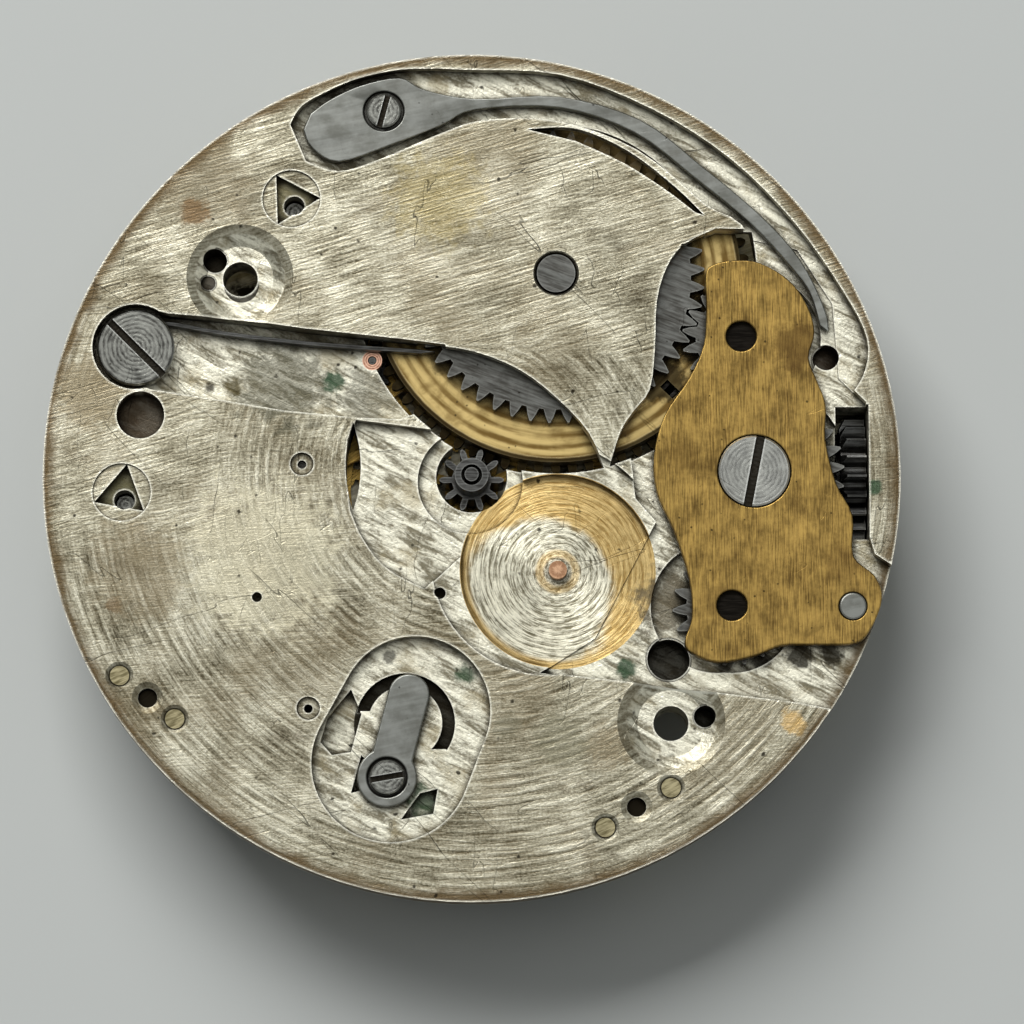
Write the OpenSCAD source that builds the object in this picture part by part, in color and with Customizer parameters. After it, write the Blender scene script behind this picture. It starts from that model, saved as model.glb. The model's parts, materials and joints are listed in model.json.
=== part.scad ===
// Stem-wind watch movement with a rocking bar, dial side up.
// Origin: middle of the underside. +X points to the stem, +Y to the left of someone facing the stem side.

/* [Plate] */
// Diameter of the plate at the dial
plate_d = 29.3; // [29.2:0.05:29.6]
// Diameter of the plate below its flange
body_d = 28.7; // [28.65:0.05:28.8]
// Thickness of the flange that rests on the case
flange_t = 0.9; // [0.8:0.02:0.94]
// Full height, from the bridges to the dial face
movement_h = 4.9; // [4.85:0.05:5.4]
// Thickness of the plate
plate_t = 2.3; // [2.2:0.05:2.4]
// Thickness of the web over the ratchet wheel
web_t = 0.48; // [0.44:0.02:0.5]
// Depth of the shelf that carries the return spring
shelf_depth = 0.55; // [0.5:0.01:0.58]
// Depth of the click spring's channel
channel_depth = 1.05; // [1:0.01:1.1]
// Depth of the wide round recess under the dial train
motion_depth = 0.28; // [0.2:0.02:0.36]
// Depth of the turned recess round the minute-wheel post
post_recess_depth = 0.55; // [0.46:0.02:0.7]
// Radius of the turned recess round the minute-wheel post
post_recess_r = 3.33; // [3.1:0.02:3.4]
// Radius of the minute-wheel post
post_r = 0.31; // [0.28:0.01:0.34]
// Radius of the post's thinner foot in the plate
post_foot_r = 0.15; // [0.1:0.01:0.15]
// Length of the post's foot
post_foot_l = 1.2; // [0.8:0.05:1.3]
// Depth of the empty cock seat
seat_depth = 0.4; // [0.3:0.02:0.5]
// Depth of the recess round the balance end piece
end_depth = 0.45; // [0.4:0.02:0.5]
// Radius of the dial feet's holes
dial_foot_r = 0.6; // [0.5:0.01:0.7]
// Radius of the dished mouth round each dial-foot hole
dish_r = 1.84; // [1.7:0.02:1.9]
// Depth of the dished mouth
dish_depth = 0.45; // [0.3:0.02:0.6]

/* [Stem] */
// Radius of the stem's hole in the rim
stem_r = 0.6; // [0.5:0.01:0.66]
// Radius of the hole of the stem's inner end
stem_pilot_r = 0.36; // [0.3:0.01:0.4]
// Height of the stem's axis over the underside
stem_z = 2.3; // [2.25:0.01:2.34]
// Distance of the flat at the stem's hole from the centre
stem_flat_x = 14.2; // [14.1:0.02:14.25]

/* [Barrel] */
// Barrel axis from the centre, along X
barrel_x = 2.9; // [2.8:0.02:3]
// Barrel axis from the centre, along Y
barrel_y = 6.98; // [6.92:0.02:7]
// Outer radius of the drum
drum_r = 6.4; // [6.34:0.01:6.41]
// Wall of the drum
drum_wall = 0.35; // [0.3:0.01:0.4]
// Floor of the drum
drum_floor = 0.25; // [0.2:0.01:0.4]
// Thickness of the barrel cover
cover_t = 0.2; // [0.16:0.01:0.3]
// Height of the barrel's teeth over the pitch circle, in modules
barrel_addendum = 0.7; // [0.6:0.05:0.7]
// Teeth of the barrel
barrel_teeth = 70; // [69:1:70]
// Radius of the arbor's core, which the mainspring grips
core_r = 1.3; // [1.2:0.02:1.4]
// Radius of the arbor's end in the plate
arbor_end_r = 0.66; // [0.6:0.01:0.7]
// Turns of the mainspring
mainspring_turns = 12; // [10:1:13]
// Thickness of the mainspring
mainspring_t = 0.12; // [0.1:0.01:0.14]

/* [Keyless work] */
// Axis of the crown wheel and of the bar, along X
crown_x = 9.66; // [9.64:0.01:9.7]
// Axis of the crown wheel, of the bar and of the stem, along Y
crown_y = 0.12; // [0.1:0.01:0.2]
// Module of the keyless wheels
keyless_module = 0.2; // [0.196:0.001:0.201]
// Teeth of the ratchet wheel
ratchet_teeth = 49; // [48:1:49]
// Teeth of the ratchet-drive wheel and of the setting wheel
small_teeth = 18; // [17:1:18]
// Teeth of the crown wheel
crown_teeth = 29; // [28:1:29]
// Leaves of the winding pinion
winding_teeth = 20; // [19:1:20]
// Thickness of the keyless wheels
keyless_t = 0.4; // [0.36:0.01:0.42]
// Thickness of the rocking bar
bar_t = 0.46; // [0.42:0.01:0.48]
// Gap of the bar's top below the dial face
bar_drop = 0.08; // [0.06:0.01:0.1]
// Head radius of the bar's shoulder screw
bar_screw_head_r = 1.22; // [1.16:0.01:1.3]
// Shoulder radius of that screw
bar_shoulder_r = 0.9; // [0.8:0.01:1]
// Radius of the small wheels' studs
stud_r = 0.8; // [0.7:0.01:0.85]
// Radius of the tapped holes in the bar
stud_thread_r = 0.52; // [0.45:0.01:0.56]
// Radius of the bar's steel pin
bar_pin_r = 0.47; // [0.42:0.01:0.5]
// Thickness of the return spring
return_spring_t = 0.38; // [0.34:0.01:0.42]
// Head radius of the return spring's screw
return_head_r = 0.58; // [0.54:0.01:0.64]
// Thickness of the click spring's blade
blade_t = 0.14; // [0.12:0.01:0.16]
// Head radius of the click spring's screw
click_head_r = 1.33; // [1.26:0.01:1.38]

/* [Going train] */
// Third wheel's axis, along X
third_x = -3.42; // [-3.46:0.01:-3.4]
// Third wheel's axis, along Y
third_y = 4.12; // [4.08:0.01:4.16]
// Fourth wheel's axis, along X
fourth_x = -5.8; // [-5.84:0.01:-5.78]
// Fourth wheel's axis, along Y
fourth_y = 0.35; // [0.32:0.01:0.38]
// Pallet axis, along X
pallet_x = -5.55; // [-5.58:0.01:-5.52]
// Pallet axis, along Y
pallet_y = -8.05; // [-8.08:0.01:-8]
// Teeth of the centre wheel
centre_teeth = 80; // [79:1:80]
// Teeth of the third wheel
third_teeth = 75; // [74:1:76]
// Teeth of the fourth wheel
fourth_teeth = 80; // [79:1:80]
// Leaves of the centre, third and fourth pinions
pinion_leaves = 10; // [9:1:10]
// Leaves of the escape pinion
escape_leaves = 8; // [7:1:8]
// Thickness of the train wheels
train_t = 0.18; // [0.14:0.01:0.18]
// Module of the fourth wheel
fourth_module = 0.0975; // [0.097:0.0001:0.0977]
// Radius of the train's pivots
pivot_r = 0.12; // [0.1:0.01:0.14]
// Outer radius of the hollow centre pinion's pipe
centre_pipe_r = 0.58; // [0.54:0.01:0.62]
// Radius of the centre arbor
centre_arbor_r = 0.24; // [0.22:0.01:0.28]

/* [Escapement] */
// Balance axis, along X
balance_x = -2.26; // [-2.3:0.01:-2.24]
// Balance axis, along Y
balance_y = -8.5; // [-8.52:0.01:-8.46]
// Outer radius of the balance rim
balance_r = 4.9; // [4.8:0.01:4.95]
// Height of the balance rim
balance_rim_h = 0.4; // [0.3:0.01:0.42]
// Screws in the balance rim
balance_screw_count = 12; // [8:2:14]
// Distance between the escape and pallet axes
escape_pallet = 4.25; // [4.22:0.01:4.28]
// Turns of the hairspring
hairspring_turns = 7; // [5:1:8]
// Outer radius of the hairspring
hairspring_r = 1.75; // [1.7:0.01:1.8]

/* [Bridges] */
// Thickness of the barrel and train bridges
bridge_t = 1; // [0.9:0.01:1]
// Radius of the bridges' outer edge
bridge_edge_r = 14.05; // [13.9:0.05:14.2]
// Gap between the two bridges
bridge_gap = 0.3; // [0.24:0.02:0.4]
// Radius of the bridges' feet
foot_r = 1; // [0.9:0.02:1.05]
// Head radius of the bridge screws
bridge_head_r = 0.75; // [0.65:0.01:0.8]
// Thread radius of the bridge screws
bridge_thread_r = 0.36; // [0.3:0.01:0.4]
// Outer radius of the bridge jewels
jewel_r = 0.45; // [0.4:0.01:0.48]
// Thickness of the balance cock's arm
cock_t = 0.5; // [0.44:0.01:0.52]
// Depth of the balance cock's face below the bridges
cock_drop = 0.3; // [0.28:0.01:0.34]
// Thickness of the pallet cock
pallet_cock_t = 0.35; // [0.3:0.01:0.38]

/* [Fits] */
// Radial clearance of a pivot or shaft in its hole
running = 0.03; // [0.02:0.002:0.04]
// Height gap between pieces that turn over each other
air = 0.1; // [0.08:0.01:0.11]
// Gap between a piece and the wall beside it
side_gap = 0.15; // [0.1:0.01:0.2]
// Width of the driver slots
slot_w = 0.24; // [0.18:0.02:0.3]

/* [Hidden] */
$fn = 64;
over = 0.05;

// Colours
c_nickel = [0.62, 0.59, 0.51];
c_brass = [0.66, 0.52, 0.24];
c_gold = [0.78, 0.62, 0.33];
c_steel = [0.42, 0.43, 0.45];
c_dark = [0.2, 0.2, 0.22];
c_ruby = [0.62, 0.2, 0.26];
c_copper = [0.72, 0.45, 0.36];
c_blue = [0.16, 0.2, 0.4];

// Heights, from the dial face down
z_under = movement_h - plate_t;
z_flange = movement_h - flange_t;
z_shelf = movement_h - shelf_depth;
z_channel = movement_h - channel_depth;
z_motion = movement_h - motion_depth;
z_post_recess = movement_h - post_recess_depth;
post_drop = 0.06;
z_seat = movement_h - seat_depth;
z_end = movement_h - end_depth;
z_web = movement_h - web_t;
z_ratchet_top = z_web - air;
z_ratchet = z_ratchet_top - keyless_t;
z_cover_top = z_ratchet - air;
z_cover = z_cover_top - cover_t;
z_bar_top = movement_h - bar_drop;
z_bar = z_bar_top - bar_t;
z_wheel = z_bar - 0.04 - keyless_t;
z_wheel_top = z_bar - 0.04;
z_wheel_floor = z_wheel - 0.08;
barrel_flange_t = 0.4;
z_barrel_teeth = z_cover_top - 0.72 - barrel_flange_t;

// Heights, from the bridges up
z_third = bridge_t + 0.15;
z_centre = z_third + train_t + 0.2;
z_drum = z_centre + train_t + 0.12;
z_cock = cock_drop + cock_t;
z_hairspring = z_cock + 0.06;
hairspring_h = 0.12;
z_balance = z_cock + 0.22;
z_balance_top = z_balance + balance_rim_h;
z_pallet_cock = z_balance_top + 0.08;
z_pallet_cock_top = z_pallet_cock + pallet_cock_t;
roller_t = 0.18;
z_roller = z_balance_top + 0.18;
fork_t = 0.16;
escape_t = fork_t;
z_fork = z_pallet_cock_top + 0.2;
z_escape = z_fork;
z_fourth = z_escape + escape_t + 0.12;
z_escape_leaves = z_fourth + train_t + 0.29;

// Places
barrel_pos = [barrel_x, barrel_y];
third_pos = [third_x, third_y];
fourth_pos = [fourth_x, fourth_y];
pallet_pos = [pallet_x, pallet_y];
balance_pos = [balance_x, balance_y];
crown_pos = [crown_x, crown_y];
plate_r = plate_d / 2;
body_r = body_d / 2;

// Plane geometry
function dist(a, b) = norm(b - a);
function bearing(a, b) = atan2(b[1] - a[1], b[0] - a[0]);
function from(a, r, angle) = a + r * [cos(angle), sin(angle)];
// Point at distances ra from a and rb from b, on the side that side (+1 or -1) names
function meet(a, ra, b, rb, side) =
  let(d = dist(a, b))
  let(along = (ra * ra - rb * rb + d * d) / (2 * d))
  let(across = sqrt(max(0, ra * ra - along * along)))
  let(u = (b - a) / d)
  a + along * u + side * across * [-u[1], u[0]];
// Points of an arc about c, in steps of about six degrees
function arc(c, r, from_angle, to_angle) =
  let(steps = max(2, ceil(abs(to_angle - from_angle) / 6)))
  [for (i = [0:steps]) from(c, r, from_angle + (to_angle - from_angle) * i / steps)];
// One point of a smooth curve through b and c, at share t between them
function curve_point(a, b, c, d, t) =
  0.5 * ((2 * b) + (c - a) * t + (2 * a - 5 * b + 4 * c - d) * t * t + (3 * b - a - 3 * c + d) * t * t * t);
// Smooth closed curve through all points
function smooth_loop(p, steps) =
  let(n = len(p))
  [for (i = [0:n - 1]) for (s = [0:steps - 1])
    curve_point(p[(i + n - 1) % n], p[i], p[(i + 1) % n], p[(i + 2) % n], s / steps)];
// Smooth open curve through all points
function smooth_path(p, steps) =
  let(n = len(p))
  concat([for (i = [0:n - 2]) for (s = [0:steps - 1])
    curve_point(p[max(i - 1, 0)], p[i], p[i + 1], p[min(i + 2, n - 1)], s / steps)], [p[n - 1]]);

// Axes that follow from the gears
drive_pos = from(crown_pos, keyless_module * (small_teeth + crown_teeth) / 2, 95.1);
setting_pos = from(crown_pos, keyless_module * (small_teeth + crown_teeth) / 2, 260.3);
fourth_escape = fourth_module * (fourth_teeth + escape_leaves) / 2;
escape_pos = meet(fourth_pos, fourth_escape, pallet_pos, escape_pallet, -1);
barrel_module = norm(barrel_pos) / ((barrel_teeth + pinion_leaves) / 2);
centre_module = norm(third_pos) / ((centre_teeth + pinion_leaves) / 2);
third_module = dist(third_pos, fourth_pos) / ((third_teeth + pinion_leaves) / 2);
ratchet_module = dist(barrel_pos, drive_pos) / ((ratchet_teeth + small_teeth) / 2);
escape_teeth = 15;
pallet_half_angle = 42;
escape_r = escape_pallet * cos(pallet_half_angle);

// Turn that puts gear 2 in mesh with gear 1, seen from gear 1 along the bearing line
function in_mesh(line, turn1, n1, n2) = line + 180 - 180 / n2 + (line - turn1) * n1 / n2;
// The click's point stands in a gap of the ratchet
click_tip = [-1.25, 4.36];
ratchet_turn = bearing(barrel_pos, click_tip) - 180 / ratchet_teeth;
drive_turn = in_mesh(bearing(barrel_pos, drive_pos), ratchet_turn, ratchet_teeth, small_teeth);
crown_turn = in_mesh(bearing(drive_pos, crown_pos), drive_turn, small_teeth, crown_teeth);
setting_turn = in_mesh(bearing(crown_pos, setting_pos), crown_turn, crown_teeth, small_teeth);
centre_pinion_turn = 0;
barrel_turn = in_mesh(bearing([0, 0], barrel_pos), centre_pinion_turn, pinion_leaves, barrel_teeth);
centre_turn = 0;
third_pinion_turn = in_mesh(bearing([0, 0], third_pos), centre_turn, centre_teeth, pinion_leaves);
third_turn = 0;
fourth_pinion_turn = in_mesh(bearing(third_pos, fourth_pos), third_turn, third_teeth, pinion_leaves);
fourth_turn = 0;
escape_pinion_turn = in_mesh(bearing(fourth_pos, escape_pos), fourth_turn, fourth_teeth, escape_leaves);
// The crown wheel's tooth that faces the stem sets the winding pinion's first gap
crown_tooth_offset = (0 - crown_turn) * crown_teeth / 360;
winding_turn = 90 + (crown_tooth_offset - floor(crown_tooth_offset) - 0.5) * 360 / winding_teeth;

// Outline of one tooth, in polar steps: [angle share of the pitch, radius]
function tooth(k, n, turn, root, pitch, tip, share) =
  let(a = turn + k * 360 / n)
  let(w = 360 / n * share)
  let(flank = (pitch + tip) / 2)
  [for (q = [[root, -0.62], [pitch, -0.5], [flank, -0.36], [tip, -0.12],
             [tip, 0.12], [flank, 0.36], [pitch, 0.5], [root, 0.62]])
    from([0, 0], q[0], a + w * q[1])];
module gear_2d(n, m, turn = 0, add = 1, ded = 1.3, share = 0.44) {
  pitch = n * m / 2;
  polygon([for (k = [0:n - 1]) each tooth(k, n, turn, pitch - ded * m, pitch, pitch + add * m, share)]);
}
// Straight-sided pointed teeth, as filed wheels of the keyless work have
module pointed_gear_2d(n, m, turn = 0) {
  pitch = n * m / 2;
  polygon([for (k = [0:n - 1]) let(a = turn + k * 360 / n, w = 360 / n) each [
    from([0, 0], pitch - 1.3 * m, a - w * 0.36), from([0, 0], pitch, a - w * 0.21),
    from([0, 0], pitch + 1.05 * m, a - w * 0.05), from([0, 0], pitch + 1.05 * m, a + w * 0.05),
    from([0, 0], pitch, a + w * 0.21), from([0, 0], pitch - 1.3 * m, a + w * 0.36)]]);
}
// Spiral band in the plane
module spiral_2d(r0, r1, turns, t, start) {
  steps_per_turn = 18;
  steps = turns * steps_per_turn;
  growth = (r1 - r0) / steps;
  step_angle = 360 / steps_per_turn;
  inner = [for (i = [0:steps]) from([0, 0], r0 + growth * i - t / 2, start + step_angle * i)];
  outer = [for (i = [steps:-1:0]) from([0, 0], r0 + growth * i + t / 2, start + step_angle * i)];
  polygon(concat(inner, outer));
}
// Pointed oval of half length a and half width b, along Y
module lens_2d(a, b) {
  r = (a * a + b * b) / (2 * b);
  intersection() {
    translate([r - b, 0]) circle(r);
    translate([b - r, 0]) circle(r);
  }
}
// Two discs joined by their outer tangents
module link_2d(p, rp, q, rq) {
  line = bearing(p, q);
  lean = acos((rp - rq) / dist(p, q));
  polygon(concat(arc(p, rp, line + lean, line + 360 - lean), arc(q, rq, line - lean, line + lean)));
}
module at(p, z = 0) {
  translate([p[0], p[1], z]) children();
}
// Ring or disc from z0 to z1
module disc(z0, z1, r, bore = 0) {
  translate([0, 0, z0]) difference() {
    cylinder(h = z1 - z0, r = r);
    if (bore > 0) translate([0, 0, -over]) cylinder(h = z1 - z0 + 2 * over, r = bore);
  }
}
module hole(p, z0, z1, r) {
  at(p, z0) cylinder(h = z1 - z0, r = r);
}
// Prism from z0 to z1
module slab(z0, z1) {
  translate([0, 0, z0]) linear_extrude(z1 - z0) children();
}
// One prism for each child, joined
module slabs(z0, z1) {
  for (i = [0:$children - 1]) slab(z0, z1) children(i);
}
// Slotted screw with its head's top at z1, standing up (dir 1) or hanging (dir -1)
module screw(z_head, head_h, head_r, z_end, shank_r, dir, angle, width = slot_w) {
  difference() {
    union() {
      if (dir > 0) disc(z_head - head_h, z_head, head_r);
      else disc(z_head, z_head + head_h, head_r);
      if (dir > 0) disc(z_end, z_head - head_h + over / 2, shank_r);
      else disc(z_head + head_h - over / 2, z_end, shank_r);
    }
    slot_z = dir > 0 ? z_head - head_h * 0.55 : z_head - over;
    rotate([0, 0, angle]) translate([-head_r - over, -width / 2, slot_z])
      cube([2 * (head_r + over), width, head_h * 0.55 + over]);
  }
}

/* Places of the fastenings and marks, read from the plate */
return_screw_pos = [-3.03, 12.7];
click_screw_pos = [-11.52, 4.42];
post_pos = [2.94, -3.29];
motion_pos = [2.61, -2.92];
motion_r = 4;
dial_feet = [[-7.95, 6.85], [6.78, -8.52]];
foot_screw_holes = [[-8.82, 7.48], [7.93, -8.29]];
bar_pin_pos = [12.99, -4.54];
spring_hole_pos = [12.17, 4.14];
blind_hole_pos = [-11.33, 2.05];
blind_hole_r = 0.82;
deep_hole_pos = [6.72, -6.29];
deep_hole_r = 0.73;
end_screw_pos = [-2.87, -10.39];
end_tip_pos = [-2.13, -7.56];
// Point at a distance inside the body's edge
function inside_edge(inset, angle) = from([0, 0], body_r - inset, angle);
steady_left = [inside_edge(0.52, 210.07), inside_edge(1.22, 219.84)];
steady_right = [inside_edge(1.42, -69.49), inside_edge(1.64, -57.86)];
cock_screw_left = inside_edge(0.92, 214.93);
cock_screw_right = inside_edge(1.64, -63.9);
steady_r = 0.33;
train_feet = [inside_edge(3.15, 123.05), inside_edge(2.45, 184.1), [4.6, -4.6]];
barrel_feet = [inside_edge(1.3, 110.17), inside_edge(1.24, 24.81), inside_edge(1.82, -24.52)];
click_head_h = 0.45;
click_shank_r = 0.6;
small_head_h = 0.24;
small_shank_r = 0.32;
shank_gap = 0.04;
return_head_sink = 0.16;
end_head_seat = 0.14;
end_stone_h = 0.18;
lower_stone_r = 0.34;
upper_stone_r = 0.36;
upper_stone_h = 0.16;
balance_jewel_h = 0.3;
balance_jewel_r = 0.5;
pivot_hole_r = pivot_r + running;
bar_head_h = 0.26;
stud_head_h = 0.16;
stud_head_r = 1.1;
cock_thread_r = 0.33;

/* Outlines under the dial */
// The bar, from its upper left corner clockwise
bar_outline = [
  [8.03, 6.95], [8.3, 7.3], [9.0, 7.45], [9.9, 7.36], [10.9, 6.75], [11.5, 5.9], [11.76, 4.95], [11.55, 4.05],
  [11.85, 3.2], [12.12, 2.4], [12.1, 1.2], [12.45, -0.3], [13.0, -1.4], [13.02, -2.8], [13.75, -3.5],
  [13.98, -4.3], [13.6, -5.3], [13.1, -5.8], [11.9, -5.86], [10.6, -5.88], [9.6, -6.25], [8.4, -6.46],
  [7.5, -6.15], [7.25, -5.75], [7.5, -4.9], [7.42, -3.6], [6.9, -1.95], [6.35, -0.7], [6.22, 0.6],
  [6.6, 2.05], [7.45, 3.35], [7.95, 4.5], [8.05, 5.7]
];
module bar_2d() {
  polygon(smooth_loop(bar_outline, 4));
}
// The return spring: foot, arm along the rim, tip at the bar
spring_outer = [
  [-5.55, 12.62], [-4.9, 13.1], [-3.85, 13.6], [-2.5, 13.88], [-1.6, 13.45], [0.15, 13.14], [3.05, 13.21],
  [5.81, 12.4], [7.87, 10.82], [9.92, 9.06], [11.29, 7.49], [12.13, 5.74], [12.25, 4.95]
];
spring_inner = [
  [11.95, 5.2], [11.6, 6.35], [10.95, 7.25], [9.62, 8.72], [7.62, 10.4], [5.6, 11.95], [3.05, 12.82],
  [0.15, 12.75], [-1.06, 12.19], [-2.8, 11.5], [-4.57, 10.92], [-5.5, 11.4], [-5.8, 12.05]
];
module return_spring_2d() {
  polygon(concat(smooth_path(spring_outer, 4), smooth_path(spring_inner, 4)));
}
// The shelf that carries the return spring, down to the slot of the winding pinion
shelf_outer = [
  [-6.25, 12.2], [-5.85, 12.85], [-4.9, 13.4], [-3.9, 13.82], [-2.5, 14.12], [-1.2, 14.16], [-0.2, 14.12],
  [3.05, 13.95], [6.2, 12.75], [8.9, 11.0], [11.1, 8.75], [12.75, 6.35],
  [13.55, 4.7], [13.4, 3.4], [12.6, 2.3]
];
shelf_inner = [
  [10.4, 3.0], [9.6, 8.1], [8.02, 9.4], [5.7, 11.3], [3.0, 12.3], [0.5, 12.35], [-1.0, 11.9], [-3.2, 10.95],
  [-4.6, 10.55], [-5.7, 10.9]
];
module shelf_2d() {
  polygon(concat(smooth_path(shelf_outer, 4), smooth_path(shelf_inner, 4)));
}
// The channel of the click spring
channel_top = [[-11.5, 5.85], [-10.4, 5.58], [-7.84, 5.36], [-5.74, 5.06], [-2.45, 4.7], [-0.9, 4.5]];
channel_bottom = [
  [-0.5, 2.6], [-2.45, 1.9], [-3.9, 1.95], [-6.42, 2.2], [-8.51, 2.56], [-10.97, 2.93], [-12.2, 3.4]
];
module channel_2d() {
  polygon(concat(channel_top, channel_bottom));
  translate(click_screw_pos) circle(click_head_r + side_gap);
}
// Edge of the web over the barrel: left window, pointed tip, right window
web_left = [
  [-3.6, 4.75], [-2.45, 4.7], [-1.43, 4.5], [0.1, 4.25], [1.66, 3.61], [2.95, 2.6], [4.0, 1.45], [4.55, 0.2]
];
web_right = [
  [4.7, 0.25], [5.1, 1.5], [5.55, 2.2], [6.1, 2.95], [6.28, 4.4], [6.35, 6], [6.7, 7.2], [7.3, 8.0],
  [8.4, 8.55]
];
module left_window_2d() {
  intersection() {
    translate(barrel_pos) circle(window_r);
    polygon(concat(smooth_path(web_left, 3), [[4.5, -2], [-6, -2]]));
  }
}
module right_window_2d() {
  intersection() {
    translate(barrel_pos) circle(window_r);
    polygon(concat(smooth_path(web_right, 3), [[11, 8.5], [11, -1], [4.7, -1]]));
  }
}
// Slot between the web and the shelf, over the ratchet wheel
module top_slot_2d() {
  polygon(concat(
    smooth_path([[1.9, 12.02], [3.6, 12.05], [5.4, 11.25], [7.0, 10.0], [8.0, 9.0]], 4),
    smooth_path([[7.7, 9.1], [6.6, 9.95], [5.2, 10.85], [3.6, 11.6]], 4)));
}
barrel_cavity_r = drum_r + 0.55;
window_r = barrel_cavity_r - 0.03;
ratchet_cavity_r = ratchet_module * ratchet_teeth / 2 + ratchet_module * 1.05 + 0.2;
small_wheel_r = keyless_module * (small_teeth / 2 + 1.05);
crown_wheel_r = keyless_module * (crown_teeth / 2 + 1.05);
// Deep recess of the keyless wheels
module keyless_2d() {
  translate(drive_pos) circle(small_wheel_r + 0.25);
  translate(drive_pos + [0.5, 0]) circle(small_wheel_r + 0.25);
  translate(crown_pos) circle(crown_wheel_r + 0.15);
  translate(setting_pos) circle(small_wheel_r + 0.25);
  translate(setting_pos - [0.5, 0]) circle(small_wheel_r + 0.25);
}
// Shallow recess in which the bar swings, open at the rim
swing_floor = [
  [6.4, 5.2], [6.2, 2.6], [5.4, 0.9], [5.6, -0.8], [6.3, -1.6], [4.2, -5.6], [2.32, -6.81], [5.08, -7.12],
  [8.47, -7.53], [11.15, -7.87], [12.3, -8.1], [16, -9.4], [16, -3.6], [14.35, -3.15], [13.75, -2.75],
  [13.5, -1.9], [13.5, 2.5], [12.6, 3.4], [12.4, 6], [11.2, 7.9], [8.9, 8.4], [7.2, 8.0]
];
module swing_2d() {
  polygon(swing_floor);
}
// Empty seat of the dial-side cock, left of the centre
module seat_2d() {
  polygon(concat([[-1.0, 1.5], [-3.95, 1.88], [-4.25, 1.2], [-4.3, 0.3], [-4.15, -1.25]],
    smooth_path([[-3.85, -2.0], [-3.29, -2.86], [-2.6, -3.45], [-1.6, -3.95]], 3), [[0.5, -2], [0.5, 0.5]]));
}

/* Pieces under the dial */
module dished_foot_hole(p) {
  at(p, movement_h - dish_depth) cylinder(h = dish_depth + 0.001, r1 = dish_r * 0.62, r2 = dish_r);
  hole(p, z_under - over, movement_h, dial_foot_r);
}
module triangle_pocket(p, hole_p, angle) {
  hole(p, movement_h - 0.08, movement_h + over, 1);
  at(p, movement_h - 0.4) rotate([0, 0, angle]) cylinder(h = 0.5, r = 1, $fn = 3);
  hole(hole_p, z_under - over, movement_h, bridge_thread_r);
}
module sunk_ring(p, r, ring_r) {
  at(p, movement_h - 0.1) cylinder(h = 0.101, r1 = r, r2 = ring_r);
}
stem_block_x = 10.9;
stem_block_half = 3.1;
z_stem_block = bridge_t + 0.06;
winding_pitch_r = winding_teeth * keyless_module / 2;
winding_tip_r = winding_pitch_r + keyless_module;
winding_depth = 0.1;
winding_x0 = crown_x + crown_wheel_r - winding_depth;
winding_t = 0.85;
winding_x1 = winding_x0 + winding_t;
pinion_slot_x0 = winding_x0 - 0.2;
pinion_slot_x1 = winding_x1 + 0.06;
module stem_block() {
  intersection() {
    translate([stem_block_x, -stem_block_half, z_stem_block])
      cube([plate_r - stem_block_x, 2 * stem_block_half, z_under - z_stem_block + over]);
    disc(z_stem_block, z_under + over, body_r);
  }
}
// Barrel and ratchet cavities with the windows of the web
module barrel_space() {
  hole(barrel_pos, z_under - over, z_ratchet, barrel_cavity_r);
  hole(barrel_pos, z_ratchet - over, z_web, ratchet_cavity_r);
  slab(z_ratchet - over, movement_h + over) {
    left_window_2d();
    right_window_2d();
    top_slot_2d();
  }
  hole(barrel_pos, z_web - over, movement_h + over, arbor_end_r + 0.04);
  at(barrel_pos, movement_h - 0.12) cylinder(h = 0.121, r1 = arbor_end_r + 0.04, r2 = arbor_end_r + 0.13);
}
// Recesses of the rocking bar and its wheels, open at the rim
module keyless_space() {
  slab(z_bar - 0.06, movement_h + over) swing_2d();
  slab(z_wheel_floor, movement_h + over) keyless_2d();
}
// Slot of the winding pinion and hole of the stem
module stem_space() {
  translate([pinion_slot_x0, crown_y - winding_tip_r - 0.1, z_stem_block - over])
    cube([pinion_slot_x1 - pinion_slot_x0, 2 * winding_tip_r + 0.2, movement_h]);
  translate([pinion_slot_x1 - over, crown_y, stem_z]) rotate([0, 90, 0]) cylinder(h = 3, r = stem_r);
  translate([stem_block_x - over, crown_y, stem_z]) rotate([0, 90, 0])
    cylinder(h = pinion_slot_x0 - stem_block_x + 2 * over, r = stem_pilot_r);
  translate([stem_flat_x, -1.2, 0]) cube([2, 2.4, z_flange]);
}
// Recesses round the centre and the minute-wheel post
module dial_train_space() {
  hole(motion_pos, z_motion, movement_h + over, motion_r);
  hole(post_pos, z_post_recess, movement_h + over, post_recess_r);
  slab(z_seat, movement_h + over) seat_2d();
  hole([-0.05, -0.2], z_centre_ring, movement_h + over, centre_ring_r);
  hole([0, 0], z_under - over, movement_h, centre_hole_r);
  at([-4.05, 0.3], z_under - over) slab(0, plate_t + 2 * over) lens_2d(1.5, 0.26);
}
centre_ring_r = 1.8;
z_centre_ring = movement_h - 0.75;
centre_hole_r = 1.22;
island_r = 1.26;
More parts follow.
